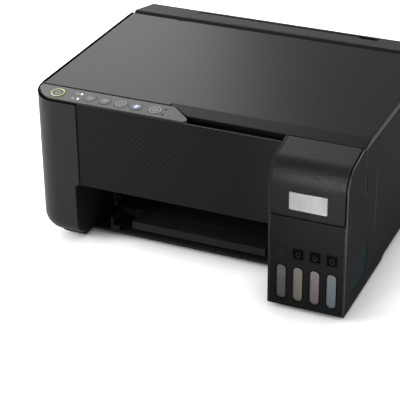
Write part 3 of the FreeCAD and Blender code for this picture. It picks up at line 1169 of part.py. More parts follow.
def pickup_roller():
    """Rubber roller against the hopper on a shaft between the inner walls."""
    tyre = rod("pick_tyre", "X", (PICK_Y, "pick_z"), hinge_span(PAPER_X, "pick_w/2"), "pick_r")
    shaft = rod("pick_shaft", "X", (PICK_Y, "pick_z"), ("feed_left-2*wall", "feed_right+2*wall"), "shaft_r")
    return fuse("pickup_roller_shape", [tyre, shaft])


def main_board():
    """Upright circuit board with its data socket, a heat sink and connectors."""
    board = block("board_sheet", ("board_x", USB_X), ("board_y0", INSIDE_REAR + "-play"),
                  (BASE_TOP, "board_z1"))
    socket = block("data_socket", (USB_X, USB_X + "+usb_w"),
                   (INSIDE_REAR + "-usb_deep", REAR + "-pane_in"), ("usb_z", "usb_z+usb_h"))
    mouth = block("socket_mouth", (USB_X + "+usb_wall", USB_X + "+usb_w-usb_wall"),
                  (REAR + "-usb_deep/2", REAR),
                  ("usb_z+usb_wall", "usb_z+usb_h-usb_wall"))
    tongue = block("socket_tongue", (USB_X + "+usb_w/2-usb_wall", USB_X + "+usb_w/2+usb_wall"),
                   (REAR + "-usb_deep", REAR + "-usb_deep/2+usb_wall"),
                   ("usb_z+usb_h/2-usb_wall", "usb_z+usb_h/2+usb_wall"))
    return fuse("main_board_shape", [board, cut("socket_shell", socket, [mouth]), tongue])


def power_supply():
    """Closed supply box, with the mains inlet and its two pins on the rear end."""
    inlet_front = REAR + "-inlet_deep-inlet_wall"
    box = block("supply_box", ("supply_x0", INSIDE_R + "-2*wall"), ("supply_y0", inlet_front),
                (BASE_TOP, "supply_z1"))
    snout = block("inlet_snout", hinge_span("inlet_x", "inlet_w/2"), (inlet_front, REAR + "-pane_in"),
                  hinge_span("inlet_z", "inlet_h/2"))
    mouth = block("inlet_mouth", hinge_span("inlet_x", "(inlet_w/2-inlet_wall)"),
                  (REAR + "-inlet_deep", REAR),
                  hinge_span("inlet_z", "(inlet_h/2-inlet_wall)"))
    pins = [rod("inlet_pin", "Y", ("inlet_x+(%s)*inlet_w/4" % side, "inlet_z-pin_drop"),
                (REAR + "-inlet_deep", REAR + "-wall"), "pin_r")
            for side in ("-1", "1")]
    return group("power_supply_shape", [box, cut("inlet_open", snout, [mouth])] + pins)


for make in (base_tray, rubber_feet, left_side_cover, right_side_cover, side_window, rear_cover,
             front_panel,
             tank_left_cheek, tank_right_cheek, tank_case, ink_tank_block, tank_cover, control_panel,
             indicator_lights, panel_board, scanner_tub, scanner_frame, scanner_glass, scan_bar, scan_rod,
             lid_cover, lid_pad, output_tray, tray_extension, paper_stopper, main_frame, guide_rod,
             print_carriage, print_head, timing_belt, carriage_motor, feed_motor, feed_roller, exit_roller,
             idler_gear, feed_pinion, star_wheels, platen, maintenance_station, feeder_housing, hopper,
             paper_support, feeder_guard, pickup_roller, main_board, power_supply):
    node(make.__name__, make())
for count, middle in enumerate(window_spots(), start=1):
    node("tank_cap_%d" % count, tank_cap(middle))
node("power_button", push_button("power_x", "power_r"))
for count, place in enumerate(BUTTONS, start=1):
    node("panel_button_%d" % count, push_button(place, "button_r"))
node("motor_pulley", belt_pulley("pulley_x0"))
node("idler_pulley", belt_pulley("pulley_x1"))
node("edge_guide_left", edge_guide((PAPER_L + "-guide_t", PAPER_L)))
node("edge_guide_right", edge_guide((PAPER_R, PAPER_R + "+guide_t")))

doc.recompute()
faults = [item.Name for item in doc.Objects if "Invalid" in item.State or "Error" in item.State]
faults += [item.Label for item in nodes
           if item.Shape.isNull() or not item.Shape.isValid() or not item.Shape.Solids]
if faults:
    raise RuntimeError("Failed objects: " + ", ".join(faults))

os.makedirs("parts", exist_ok=True)
for item in nodes:
    item.Shape.exportStep(os.path.join("parts", item.Label + ".step"))
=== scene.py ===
import math

import bmesh
import bpy
from mathutils import Matrix, Vector


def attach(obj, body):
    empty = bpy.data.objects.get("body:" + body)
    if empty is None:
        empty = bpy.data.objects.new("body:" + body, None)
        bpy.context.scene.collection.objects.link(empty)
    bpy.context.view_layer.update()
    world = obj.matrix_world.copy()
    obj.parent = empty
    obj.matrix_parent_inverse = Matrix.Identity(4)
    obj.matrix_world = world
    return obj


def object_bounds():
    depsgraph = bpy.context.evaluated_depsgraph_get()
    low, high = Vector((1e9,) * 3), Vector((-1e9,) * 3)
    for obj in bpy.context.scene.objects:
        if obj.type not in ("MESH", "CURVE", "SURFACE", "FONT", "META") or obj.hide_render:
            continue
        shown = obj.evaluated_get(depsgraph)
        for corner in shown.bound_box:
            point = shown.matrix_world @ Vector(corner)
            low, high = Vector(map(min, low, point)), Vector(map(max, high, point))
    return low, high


MM = 0.001

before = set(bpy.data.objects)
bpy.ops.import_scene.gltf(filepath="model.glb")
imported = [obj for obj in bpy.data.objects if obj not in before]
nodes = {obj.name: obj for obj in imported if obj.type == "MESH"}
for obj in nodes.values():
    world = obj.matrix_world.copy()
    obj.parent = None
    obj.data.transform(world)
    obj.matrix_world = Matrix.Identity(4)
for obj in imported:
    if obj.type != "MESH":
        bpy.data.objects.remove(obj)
cad_low, cad_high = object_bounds()
scene = bpy.context.scene


# Node helpers

def feed(tree, socket, value):
    """Links a socket given as value, and sets any other value."""
    if isinstance(value, bpy.types.NodeSocket):
        tree.links.new(value, socket)
    else:
        socket.default_value = value


def fill(tree, node, **inputs):
    """Feeds a node's inputs by their names, with _ for a space."""
    for key, value in inputs.items():
        feed(tree, node.inputs[key.replace("_", " ")], value)


def add(tree, kind, settings=None, **inputs):
    """Shader node with its settings and its inputs."""
    made = tree.nodes.new(kind)
    for key, value in (settings or {}).items():
        setattr(made, key, value)
    fill(tree, made, **inputs)
    return made


def math_node(tree, operation, *values):
    made = add(tree, "ShaderNodeMath", {"operation": operation})
    for socket, value in zip(made.inputs, values):
        feed(tree, socket, value)
    return made.outputs[0]


def spread(tree, value, low, high, start=0.0, end=1.0):
    """A value from start to end, spread from low to high."""
    made = add(tree, "ShaderNodeMapRange", Value=value,
               From_Min=start, From_Max=end, To_Min=low, To_Max=high)
    return made.outputs["Result"]


def mix(tree, share, first, second):
    """Blend of two colours."""
    made = add(tree, "ShaderNodeMix", {"data_type": "RGBA"}, Factor=share, A=first, B=second)
    return made.outputs["Result"]


def noise(tree, place, scale, detail=2.0, rough=0.5):
    made = add(tree, "ShaderNodeTexNoise", Vector=place, Scale=scale, Detail=detail,
               Roughness=rough)
    return made.outputs["Fac"]


def axes_of(tree, place):
    """The three coordinates of a place, by their letters."""
    return add(tree, "ShaderNodeSeparateXYZ", Vector=place).outputs


def new_material(name):
    """A material with its tree, its shader and the shaded point's place in the object's frame."""
    made = bpy.data.materials.new(name)
    made.use_nodes = True
    tree = made.node_tree
    place = add(tree, "ShaderNodeTexCoord").outputs["Object"]
    return made, tree, tree.nodes["Principled BSDF"], place


def shade(colour, factor):
    return (colour[0] * factor, colour[1] * factor, colour[2] * factor, 1.0)


def grey(level):
    return (level, level, level, 1.0)


# Finishes: how each kind of surface is made

# An edge is where the softened normal leans off the true one by these cosines
EDGE_COSINES = (0.75, 0.99)
BEVEL_SAMPLES = 6
BEVEL_SHARE = 0.7

# Moulded plastic: the dark and pale factors multiply a finish's own colour
NOISE_RANGE = (0.3, 0.7)
ROUGH_LESS = 0.06
ROUGH_MORE = 0.08
TONE_SCALE = 22.0
TONE_DARK = 0.86
TONE_PALE = 1.14
SPECK_RANGE = (0.35, 0.75)
SPECK_SHARE = 0.35
SPECK_PALE = 1.5
# Painted highlight: the lines of a pattern are painted this much paler.
LINE_HIGHLIGHT_PALE = 1.9
GRAIN_UNDER_LINES = 0.2

# Metal
MOTTLE_SCALE = 60.0
MOTTLE_DARK = 0.8
MOTTLE_PALE = 1.1
STREAK_SHARE = 0.3
STREAK_DARK = 0.7

# Patterns; the studs fade in between two heights
RIB_PITCH = 4.28 * MM
LINE_PITCH = 2.4 * MM
STUD_PITCH = 4.2 * MM
STUD_RISE = 4.8 * MM
STUD_LOW = 139.0 * MM
STUD_FULL = 147.0 * MM

# Circuit board; the socket's shell lies right of and behind its place
TRACK_SCALE = 160.0
TRACK_WIDTH = 0.09
POINT_SCALE = 260.0
POINT_RADII = (0.12, 0.2)
SOCKET_X = -158.3 * MM
SOCKET_Y = 155.0 * MM
MASK_GREEN = (0.012, 0.085, 0.03, 1.0)
MASK_DARK = (0.01, 0.07, 0.026, 1.0)
TRACK_GREEN = (0.03, 0.17, 0.06, 1.0)
SOLDER = (0.6, 0.58, 0.5, 1.0)
SHELL_STEEL = (0.32, 0.32, 0.33, 1.0)

# Ink tank
WINDOW_STEP = 18.2
TANK_PITCH = WINDOW_STEP * MM
TANK_LEFT = 109.1 * MM
TANK_LOW = 12 * MM
TANK_HIGH = 54 * MM
INK_TINTS = ((0.011, 0.011, 0.0115), (0.07, 0.059, 0.044), (0.063, 0.046, 0.058),
             (0.042, 0.063, 0.07))
INK_HAZE = grey(0.2)
HAZE_SHARE = 0.16
HAZE_RANGE = (0.35, 0.7)
CLOUD_SHARE = 0.3

# Panel lamps; those left of this place are lit
LIT_BEFORE = -80 * MM
LENS_PALE = (0.9, 0.9, 0.7, 1.0)
LENS_GLOW = (1.0, 0.98, 0.66, 1.0)

# Shafts
SHAFT_DARK = (0.5, 0.51, 0.52, 1.0)
SHAFT_PALE = (0.62, 0.63, 0.64, 1.0)
WHEEL_DARK = (0.66, 0.66, 0.63, 1.0)
WHEEL_PALE = (0.74, 0.74, 0.71, 1.0)


def edge_mask(tree, radius):
    """One along outer and inner edges, nought on the faces between them."""
    soft = add(tree, "ShaderNodeBevel", {"samples": BEVEL_SAMPLES}, Radius=radius)
    flat = add(tree, "ShaderNodeNewGeometry")
    dot = add(tree, "ShaderNodeVectorMath", {"operation": "DOT_PRODUCT"})
    feed(tree, dot.inputs[0], soft.outputs["Normal"])
    feed(tree, dot.inputs[1], flat.outputs["Normal"])
    return spread(tree, dot.outputs["Value"], 1.0, 0.0, *EDGE_COSINES)


def relief(tree, shader, height, depth, radius=0.5 * MM):
    """Surface relief over softened edges."""
    soft = add(tree, "ShaderNodeBevel", {"samples": BEVEL_SAMPLES}, Radius=radius)
    bump = add(tree, "ShaderNodeBump", Height=height, Normal=soft.outputs["Normal"],
               Strength=1.0, Distance=depth)
    fill(tree, shader, Normal=bump.outputs["Normal"])


def moulded(name, colour, rough, specular=0.3, grain=2400.0, depth=0.03 * MM, edge_wear_and_highlight=1.6,
            edge=0.7 * MM, pattern=None, line_highlight=0.4):
    """Moulded plastic: spark-eroded grain, slow shifts of tone, edges painted paler, partly as wear
    and partly as painted highlight where rounded edges catch the light.

    A pattern stands out by the depth, and its lines are painted paler as painted highlight.
    """
    made, tree, shader, place = new_material(name)
    fine = noise(tree, place, grain, detail=3.0, rough=0.6)
    broad = noise(tree, place, TONE_SCALE, detail=3.0)
    skin = mix(tree, broad, shade(colour, TONE_DARK), shade(colour, TONE_PALE))
    specks = spread(tree, fine, 0.0, SPECK_SHARE, *SPECK_RANGE)
    skin = mix(tree, specks, skin, shade(colour, SPECK_PALE))
    # Painted highlight and wear: the edges are painted paler.
    skin = mix(tree, edge_mask(tree, edge), skin, shade(colour, edge_wear_and_highlight))
    height = fine
    if pattern:
        lines = pattern(tree, place)
        # Painted highlight: the pattern's lines are painted paler than the plastic.
        skin = mix(tree, spread(tree, lines, 0.0, line_highlight), skin, shade(colour, LINE_HIGHLIGHT_PALE))
        height = math_node(tree, "ADD", math_node(tree, "MULTIPLY", fine, GRAIN_UNDER_LINES), lines)
    fill(tree, shader, Base_Color=skin, Specular_IOR_Level=specular,
         Roughness=spread(tree, fine, rough - ROUGH_LESS, rough + ROUGH_MORE, *NOISE_RANGE))
    relief(tree, shader, height, depth, BEVEL_SHARE * edge)
    return made


def slanted(tree, across, pitch):
    """Ribs at 45 degrees between two axes; across is the one less the other."""
    turns = math_node(tree, "MULTIPLY", across, 1.0 / (pitch * math.sqrt(2.0)))
    return math_node(tree, "PINGPONG", turns, 0.5)


def slanted_ribs(tree, place):
    """Fine ribs at 45 degrees across a front face."""
    axes = axes_of(tree, place)
    return slanted(tree, math_node(tree, "SUBTRACT", axes["X"], axes["Z"]), RIB_PITCH)


def cross_ribs(tree, place):
    """Very fine slanted lines across a top face."""
    axes = axes_of(tree, place)
    return slanted(tree, math_node(tree, "SUBTRACT", axes["X"], axes["Y"]), LINE_PITCH)


def diamonds(tree, place):
    """Rows of small diamond studs that start above the plate and follow the cover over its top."""
    axes = axes_of(tree, place)
    over = math_node(tree, "ADD", axes["Y"], axes["Z"])
    across = math_node(tree, "MULTIPLY", axes["X"], 1.0 / STUD_PITCH)
    up = math_node(tree, "MULTIPLY", over, 1.0 / STUD_RISE)
    rising = math_node(tree, "PINGPONG", math_node(tree, "ADD", across, up), 0.5)
    falling = math_node(tree, "PINGPONG", math_node(tree, "SUBTRACT", across, up), 0.5)
    studs = math_node(tree, "MULTIPLY", math_node(tree, "MULTIPLY", rising, falling), 4.0)
    shown = spread(tree, axes["Z"], 0.0, 1.0, STUD_LOW, STUD_FULL)
    return math_node(tree, "MULTIPLY", studs, shown)


def metal(name, colour, rough, streak=(40.0, 900.0, 900.0)):
    """Rolled metal with fine streaks and a slight mottle."""
    made, tree, shader, place = new_material(name)
    stretched = add(tree, "ShaderNodeMapping", Vector=place, Scale=streak)
    lines = noise(tree, stretched.outputs["Vector"], 1.0, detail=3.0, rough=0.6)
    mottle = noise(tree, place, MOTTLE_SCALE, detail=4.0)
    tone = mix(tree, mottle, shade(colour, MOTTLE_DARK), shade(colour, MOTTLE_PALE))
    streaks = spread(tree, lines, 0.0, STREAK_SHARE)
    fill(tree, shader, Metallic=1.0,
         Base_Color=mix(tree, streaks, tone, shade(colour, STREAK_DARK)),
         Roughness=spread(tree, lines, rough - 0.08, rough + 0.12, *NOISE_RANGE))
    relief(tree, shader, lines, 0.01 * MM)
    return made


def clear(name, tint, rough):
    """Clear pane: glass or clear plastic with faint haze."""
    made, tree, shader, place = new_material(name)
    haze = noise(tree, place, 90.0, detail=3.0)
    fill(tree, shader, Base_Color=mix(tree, haze, shade(tint, 0.96), shade(tint, 1.0)),
         Roughness=spread(tree, haze, rough, rough + 0.05), Transmission_Weight=0.9, IOR=1.5)
    return made


def board(name):
    """Circuit board: green mask over tracks, solder points, the steel shell of a socket."""
    made, tree, shader, place = new_material(name)
    tracks = add(tree, "ShaderNodeTexBrick", Vector=place, Scale=TRACK_SCALE, Color1=MASK_GREEN,
                 Color2=MASK_DARK, Mortar=TRACK_GREEN, Mortar_Size=TRACK_WIDTH)
    points = add(tree, "ShaderNodeTexVoronoi", Vector=place, Scale=POINT_SCALE)
    dots = spread(tree, points.outputs["Distance"], 1.0, 0.0, *POINT_RADII)
    mask = mix(tree, dots, tracks.outputs["Color"], SOLDER)
    axes = axes_of(tree, place)
    shell = math_node(tree, "MULTIPLY", math_node(tree, "GREATER_THAN", axes["X"], SOCKET_X),
                      math_node(tree, "GREATER_THAN", axes["Y"], SOCKET_Y))
    fill(tree, shader, Base_Color=mix(tree, shell, mask, SHELL_STEEL), Metallic=shell,
         Roughness=spread(tree, dots, 0.45, 0.25))
    relief(tree, shader, tracks.outputs["Fac"], 0.05 * MM)
    return made


def ink_windows(name):
    """Clear tank walls with the four inks showing dully behind them."""
    made, tree, shader, place = new_material(name)
    axes = axes_of(tree, place)
    count = len(INK_TINTS)
    along = spread(tree, axes["X"], 0.0, 1.0, TANK_LEFT, TANK_LEFT + count * TANK_PITCH)
    inks = add(tree, "ShaderNodeValToRGB", Fac=along)
    inks.color_ramp.interpolation = "CONSTANT"
    steps = inks.color_ramp.elements
    for number, colour in enumerate(INK_TINTS):
        step = steps.new(number / count) if number else steps[0]
        step.color = (*colour, 1.0)
    steps.remove(steps[len(steps) - 1])
    haze = noise(tree, place, 900.0, detail=3.0, rough=0.6)
    cloud = noise(tree, place, 70.0)
    veil = spread(tree, haze, 0.0, HAZE_SHARE, *HAZE_RANGE)
    hazy = mix(tree, veil, inks.outputs["Color"], INK_HAZE)
    high = spread(tree, axes["Z"], 0.0, CLOUD_SHARE, TANK_LOW, TANK_HIGH)
    fill(tree, shader, Roughness=spread(tree, haze, 0.32, 0.46), Specular_IOR_Level=0.4,
         Base_Color=mix(tree, math_node(tree, "MULTIPLY", high, cloud), hazy, INK_HAZE))
    relief(tree, shader, haze, 0.02 * MM)
    return made


def lamp_lens(name):
    """Small lamps on the panel: the left pair is lit, the right pair is dark."""
    made, tree, shader, place = new_material(name)
    lit = math_node(tree, "LESS_THAN", axes_of(tree, place)["X"], LIT_BEFORE)
    speck = noise(tree, place, 1500.0)
    dark = mix(tree, speck, grey(0.03), grey(0.05))
    fill(tree, shader, Base_Color=mix(tree, lit, dark, LENS_PALE),
         Roughness=spread(tree, speck, 0.6, 0.7), Specular_IOR_Level=0.05,
         Emission_Color=mix(tree, lit, grey(0.0), LENS_GLOW), Emission_Strength=1.0)
    return made


def glowing(name, colour, strength):
    """Light guide: a tinted translucent moulding, lit from behind."""
    made, tree, shader, place = new_material(name)
    cloud = noise(tree, place, 700.0)
    tint = mix(tree, cloud, shade(colour, 0.8), shade(colour, 1.0))
    fill(tree, shader, Base_Color=tint, Roughness=spread(tree, cloud, 0.3, 0.45),
         Emission_Color=tint, Emission_Strength=strength)
    return made


def shaft_set(name, y, z, bare_r, sleeve, gear_end):
    """A steel shaft, bare up to a radius, with sleeves and a white wheel at its left end."""
    made, tree, shader, place = new_material(name)
    axes = axes_of(tree, place)
    side = math_node(tree, "SUBTRACT", axes["Y"], y)
    rise = math_node(tree, "SUBTRACT", axes["Z"], z)
    square = math_node(tree, "ADD", math_node(tree, "MULTIPLY", side, side),
                       math_node(tree, "MULTIPLY", rise, rise))
    outer = math_node(tree, "GREATER_THAN", math_node(tree, "SQRT", square), bare_r)
    wheel = math_node(tree, "LESS_THAN", axes["X"], gear_end)
    fine = noise(tree, place, 1800.0, detail=3.0, rough=0.6)
    steel_tone = mix(tree, fine, SHAFT_DARK, SHAFT_PALE)
    sleeve_tone = mix(tree, fine, shade(sleeve, 0.8), shade(sleeve, 1.2))
    wheel_tone = mix(tree, fine, WHEEL_DARK, WHEEL_PALE)
    bare = math_node(tree, "MULTIPLY", math_node(tree, "SUBTRACT", 1.0, outer),
                     math_node(tree, "SUBTRACT", 1.0, wheel))
    fill(tree, shader, Metallic=bare, Roughness=spread(tree, bare, 0.6, 0.3),
         Base_Color=mix(tree, wheel, mix(tree, outer, steel_tone, sleeve_tone), wheel_tone))
    relief(tree, shader, fine, 0.02 * MM)
    return made


# Finishes of the CAD's pieces

BLACK = (0.013, 0.013, 0.0135)
PANEL_GREY = (0.073, 0.0757, 0.073)
FEED_Y = 26.5 * MM
FEED_Z = 66 * MM
EXIT_Y = -43.5 * MM
STAR_Z = 77.3 * MM
PICKUP_Y = 114.0 * MM
PICKUP_Z = 88 * MM
# A shaft's wheel lies left of its gear end, and nothing lies left of NO_GEAR
GEAR_END = -143 * MM
NO_GEAR = -1.0

case_black = moulded("case_black", BLACK, 0.6, specular=0.06)
column_black = moulded("column_black", (0.009, 0.009, 0.0095), 0.46, specular=0.15)
# Painted shade and highlight: the right side and the scanner housing are the same black plastic as
# the case, given a darker base colour as painted shade; their rounded edges are painted paler as
# painted highlight.
shaded_side_black = moulded("shaded_side_black", (0.0095, 0.0095, 0.01), 0.6, specular=0.021, edge_wear_and_highlight=3.2,
                     edge=2.6 * MM)
# Painted highlight: the front panel's edges and slanted ribs are painted much paler.
front_black = moulded("front_black", (0.0062, 0.0062, 0.0066), 0.6, specular=0.06, edge_wear_and_highlight=5.0,
                      depth=0.4 * MM, pattern=slanted_ribs, line_highlight=2.0)
# Painted shade: the tank front and the tank cover are the same black plastic as the case, given
# darker base colours as painted shade.
shaded_tank_black = moulded("shaded_tank_black", (0.0042, 0.0042, 0.0045), 0.6, specular=0.05)
shaded_cover_black = moulded("shaded_cover_black", (0.0026, 0.0026, 0.0028), 0.44, specular=0.1,
                      depth=0.3 * MM, pattern=diamonds, line_highlight=0.35)
lid_black = moulded("lid_black", (0.0056, 0.0056, 0.0058), 0.35, specular=0.0305, edge_wear_and_highlight=1.2,
                    edge=3.0 * MM, pattern=cross_ribs)
panel_grey = moulded("panel_grey", PANEL_GREY, 0.42, specular=0.06, edge_wear_and_highlight=1.25)
button_grey = moulded("button_grey", PANEL_GREY, 0.42, specular=0.06, edge_wear_and_highlight=1.1, edge=0.2 * MM)
inner_black = moulded("inner_black", (0.011, 0.011, 0.0115), 0.6, specular=0.1)
carriage_grey = moulded("carriage_grey", (0.035, 0.035, 0.037), 0.5)
inner_grey = moulded("inner_grey", (0.12, 0.12, 0.125), 0.55)
white_plastic = moulded("white_plastic", (0.7, 0.7, 0.68), 0.5, specular=0.4, edge_wear_and_highlight=1.05)
rubber = moulded("rubber", (0.018, 0.018, 0.018), 0.75, specular=0.2, grain=1400.0,
                 depth=0.05 * MM)
smoke_pane = moulded("smoke_pane", (0.0026, 0.0118, 0.0132), 0.5, specular=0.016, grain=500.0,
                     depth=0.01 * MM)
steel = metal("sheet_steel", (0.58, 0.59, 0.6), 0.34)
rod_steel = metal("rod_steel", (0.66, 0.67, 0.68), 0.2, (20.0, 1500.0, 1500.0))
bed_glass = clear("bed_glass", (0.9, 0.96, 0.95), 0.02)
board_green = board("board_green")
tank_clear = ink_windows("tank_clear")
panel_lamps = lamp_lens("lamp_lens")
feed_shaft = shaft_set("feed_shaft", FEED_Y, FEED_Z, 4.5 * MM, (0.35, 0.35, 0.33), GEAR_END)
exit_shaft = shaft_set("exit_shaft", EXIT_Y, FEED_Z, 4.0 * MM, (0.02, 0.02, 0.02), GEAR_END)
star_shaft = shaft_set("star_shaft", EXIT_Y, STAR_Z, 2.5 * MM, (0.3, 0.3, 0.3), NO_GEAR)
pickup_shaft = shaft_set("pickup_shaft", PICKUP_Y, PICKUP_Z, 5.0 * MM, (0.16, 0.16, 0.15), NO_GEAR)

FINISHES = {
    case_black: ("base_tray", "rear_cover", "tank_left_cheek", "feeder_housing", "feeder_guard"),
    column_black: ("left_side_cover",),
    shaded_side_black: ("right_side_cover", "tank_right_cheek", "scanner_frame", "scanner_tub"),
    front_black: ("front_panel",),
    shaded_tank_black: ("tank_case",),
    shaded_cover_black: ("tank_cover",),
    lid_black: ("lid_cover",),
    panel_grey: ("control_panel",),
    button_grey: ("power_button", "panel_button_1", "panel_button_2", "panel_button_3",
                  "panel_button_4", "panel_button_5"),
    tank_clear: ("ink_tank_block",),
    smoke_pane: ("side_window",),
    panel_lamps: ("indicator_lights",),
    rubber: ("rubber_feet", "timing_belt"),
    inner_black: ("scan_bar", "output_tray", "tray_extension", "paper_stopper", "platen", "hopper",
                  "paper_support", "edge_guide_left", "edge_guide_right", "tank_cap_1",
                  "tank_cap_2", "tank_cap_3", "tank_cap_4"),
    carriage_grey: ("print_carriage", "power_supply"),
    inner_grey: ("maintenance_station", "print_head"),
    white_plastic: ("lid_pad", "idler_gear", "feed_pinion", "motor_pulley", "idler_pulley"),
    steel: ("main_frame", "carriage_motor", "feed_motor"),
    rod_steel: ("guide_rod", "scan_rod"),
    bed_glass: ("scanner_glass",),
    board_green: ("main_board", "panel_board"),
    feed_shaft: ("feed_roller",),
    exit_shaft: ("exit_roller",),
    star_shaft: ("star_wheels",),
    pickup_shaft: ("pickup_roller",),
}

for finish, members in FINISHES.items():
    for member in members:
        nodes[member].data.materials.clear()
        nodes[member].data.materials.append(finish)


# Pieces: places on the CAD's faces, in metres

TANK_FRONT = cad_low[1]
PANEL_FRONT_Y = -136.7 * MM
PANEL_FRONT_Z = 175.5 * MM
PANEL_SLOPE = 3.0 / 24.2
PANEL_FACE_Y = -139.6 * MM
BUTTON_Y = -124.9 * MM
BUTTON_RISE = 0.3 * MM
BUTTON_X = [place * MM for place in (-120.8, -103.4, -83.9, -66.2, -43.9)]
POWER_X = -159.7 * MM
LAMP_X = -133.0 * MM
LIGHT_STEP = 4.8 * MM
LID_SHADE_X = 1.8 * MM
LID_SHADE_Y = 2.0 * MM


def on_rear(x, z):
    """Places on the back wall, round a point."""
    return lambda across, up, rise: Vector((x - across, cad_high[1] + rise, z + up))


def on_front(x, z, lift=0.0):
    """Places on the tank unit's front face, or lifted off it, round a point."""
    return lambda across, up, rise: Vector((x + across, TANK_FRONT - lift - rise, z + up))


def on_panel(x, y, lift=0.0):
    """Places on the sloping control panel, or lifted off it, round a point."""
    def place(across, up, rise):
        level = PANEL_FRONT_Z + (y + up - PANEL_FRONT_Y) * PANEL_SLOPE
        return Vector((x + across, y + up, level + lift + rise))
    return place


def on_button(x):
    """Places on the flat top of a button, round its middle."""
    return on_panel(x, BUTTON_Y, BUTTON_RISE)


def on_side(x):
    """Places on an upright plane that faces sideways."""
    return lambda along, up, rise: Vector((x + rise, along, up))


def on_panel_face(across, up, rise):
    """Place on the front panel's face."""
    return Vector((across, PANEL_FACE_Y - rise, up))


def on_lid_edge(across, along, rise):
    """Place on the lid's top, along its left edge."""
    return Vector((cad_low[0] + LID_SHADE_X + across, LID_SHADE_Y + along, cad_high[2] + rise))


# Pieces: outlines and paths

CORNER_STEPS = 6
ARC_STEPS = 24
DROP_TIP = 2.1


def rounded_rectangle(width, height, radius):
    """Outline of a rectangle with round corners about its middle."""
    points = []
    for turn, (across, up) in enumerate(((1, 1), (-1, 1), (-1, -1), (1, -1))):
        for i in range(CORNER_STEPS + 1):
            angle = math.radians(90.0 * (turn + i / CORNER_STEPS))
            points.append((across * (width / 2 - radius) + radius * math.cos(angle),
                           up * (height / 2 - radius) + radius * math.sin(angle)))
    return points


def ring(radius, count=48):
    """Closed path round the middle."""
    turns = [2 * math.pi * i / count for i in range(count)]
    path = [(radius * math.cos(turn), radius * math.sin(turn)) for turn in turns]
    return path + path[:1]


def arc(x, y, radius, start, end):
    """Open path along an arc, in degrees."""
    turns = [math.radians(start + (end - start) * i / ARC_STEPS) for i in range(ARC_STEPS + 1)]
    return [(x + radius * math.cos(turn), y + radius * math.sin(turn)) for turn in turns]


def corners(x, y, width, height):
    """Closed path round a rectangle."""
    w = width / 2
    h = height / 2
    return [(x - w, y - h), (x + w, y - h), (x + w, y + h), (x - w, y + h), (x - w, y - h)]


def drop(y, radius):
    """Closed path round an ink drop."""
    path = [(0.0, y + DROP_TIP * radius)] + arc(0.0, y, radius, 150, 390)
    return path + path[:1]


def kite(share):
    """Closed path round a slanted four-cornered mark."""
    path = [(-3.6 * share, 0.0), (0.0, -2.6 * share), (4.6 * share, 0.4 * share),
            (0.6 * share, 2.6 * share)]
    return path + path[:1]


def split(path):
    """A path's points without a repeated end, and whether its ends meet."""
    closed = path[0] == path[-1]
    return (path[:-1] if closed else path), closed


# Pieces: how each kind is made

SCREW_R = 2.9 * MM
SCREW_RISE = 1.1 * MM
SCREW_ROWS = 14
SCREW_CORE = 0.1
SCREW_STEPS = 48
DOME_SHARE = 0.9
SLOT_W = 0.95 * MM
SLOT_REACH = 1.8 * MM
SLOT_DEEP = 0.7 * MM
PRINT_RISE = 0.08 * MM
LEAST_RADIUS = 0.05 * MM

# Partly painted highlight: beads paler than the black side, standing for a rounded edge and
# creases; their gloss catches the lamps too.
pale_highlight_bead = moulded("pale_highlight_bead", (0.03, 0.03, 0.031), 0.35, specular=0.5)
# Painted shade: a dead black for strips laid where rims, recesses and seams fall into shade.
painted_shade_black = moulded("painted_shade_black", (0.0015, 0.0015, 0.0016), 0.9, specular=0.0, edge_wear_and_highlight=1.1)
screw_steel = metal("screw_steel", (0.05, 0.05, 0.052), 0.42, (900.0, 900.0, 900.0))
badge_silver = metal("badge_silver", (0.2, 0.2, 0.2), 0.45, (900.0, 900.0, 40.0))
pad_black = moulded("pad_black", (0.0012, 0.0012, 0.0013), 0.8, specular=0.01)
pad_sign = moulded("pad_sign", (0.013, 0.013, 0.0135), 0.55, specular=0.08)
sign_pale = moulded("sign_pale", (0.3, 0.305, 0.3), 0.42, specular=0.06, edge_wear_and_highlight=1.05,
                    edge=0.05 * MM)
lime_guide = glowing("lime_guide", (0.42, 0.54, 0.1), 0.5)
halo_blue = moulded("halo_blue", (0.1, 0.13, 0.18), 0.42, specular=0.06, edge_wear_and_highlight=1.0,
                    edge=0.05 * MM)
blue_guide = glowing("blue_guide", (0.5, 0.66, 0.95), 0.7)


def link(name, data, body, finish):
    """Adds a piece that rides on a body."""
    made = bpy.data.objects.new(name, data)
    scene.collection.objects.link(made)
    data.materials.append(finish)
    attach(made, body)


def closed_mesh(name, shape):
    """Mesh of a finished shape with its faces turned outwards."""
    bmesh.ops.recalc_face_normals(shape, faces=shape.faces)
    mesh = bpy.data.meshes.new(name)
    shape.to_mesh(mesh)
    shape.free()
    return mesh


def rows_mesh(name, rows):
    """Closed mesh through rows of points, with a face over the first and the last row."""
    shape = bmesh.new()
    loops = [[shape.verts.new(point) for point in row] for row in rows]
    for low, high in zip(loops, loops[1:]):
        for i in range(len(low)):
            j = (i + 1) % len(low)
            shape.faces.new((low[i], low[j], high[j], high[i]))
    shape.faces.new(loops[0])
    shape.faces.new(loops[-1])
    return closed_mesh(name, shape)


def plate(name, size, radius, steps, place, body, finish):
    """Plate with round corners; each step is an inset of its outline and a height."""
    width, height = size
    rows = []
    for inset, rise in steps:
        outline = rounded_rectangle(width - 2 * inset, height - 2 * inset,
                                    max(radius - inset, LEAST_RADIUS))
        rows.append([place(across, up, rise) for across, up in outline])
    link(name, rows_mesh(name, rows), body, finish)


def bead(name, paths, thick, place, body, finish):
    """Round beads along paths in mm; a path whose ends meet is closed."""
    curve = bpy.data.curves.new(name, "CURVE")
    curve.dimensions = "3D"
    curve.bevel_depth = thick / 2
    curve.bevel_resolution = 2
    curve.use_fill_caps = True
    for path in paths:
        points, closed = split(path)
        spline = curve.splines.new("POLY")
        spline.points.add(len(points) - 1)
        for spot, (across, up) in zip(spline.points, points):
            spot.co = (*place(across * MM, up * MM, 0.0), 1.0)
        spline.use_cyclic_u = closed
    link(name, curve, body, finish)


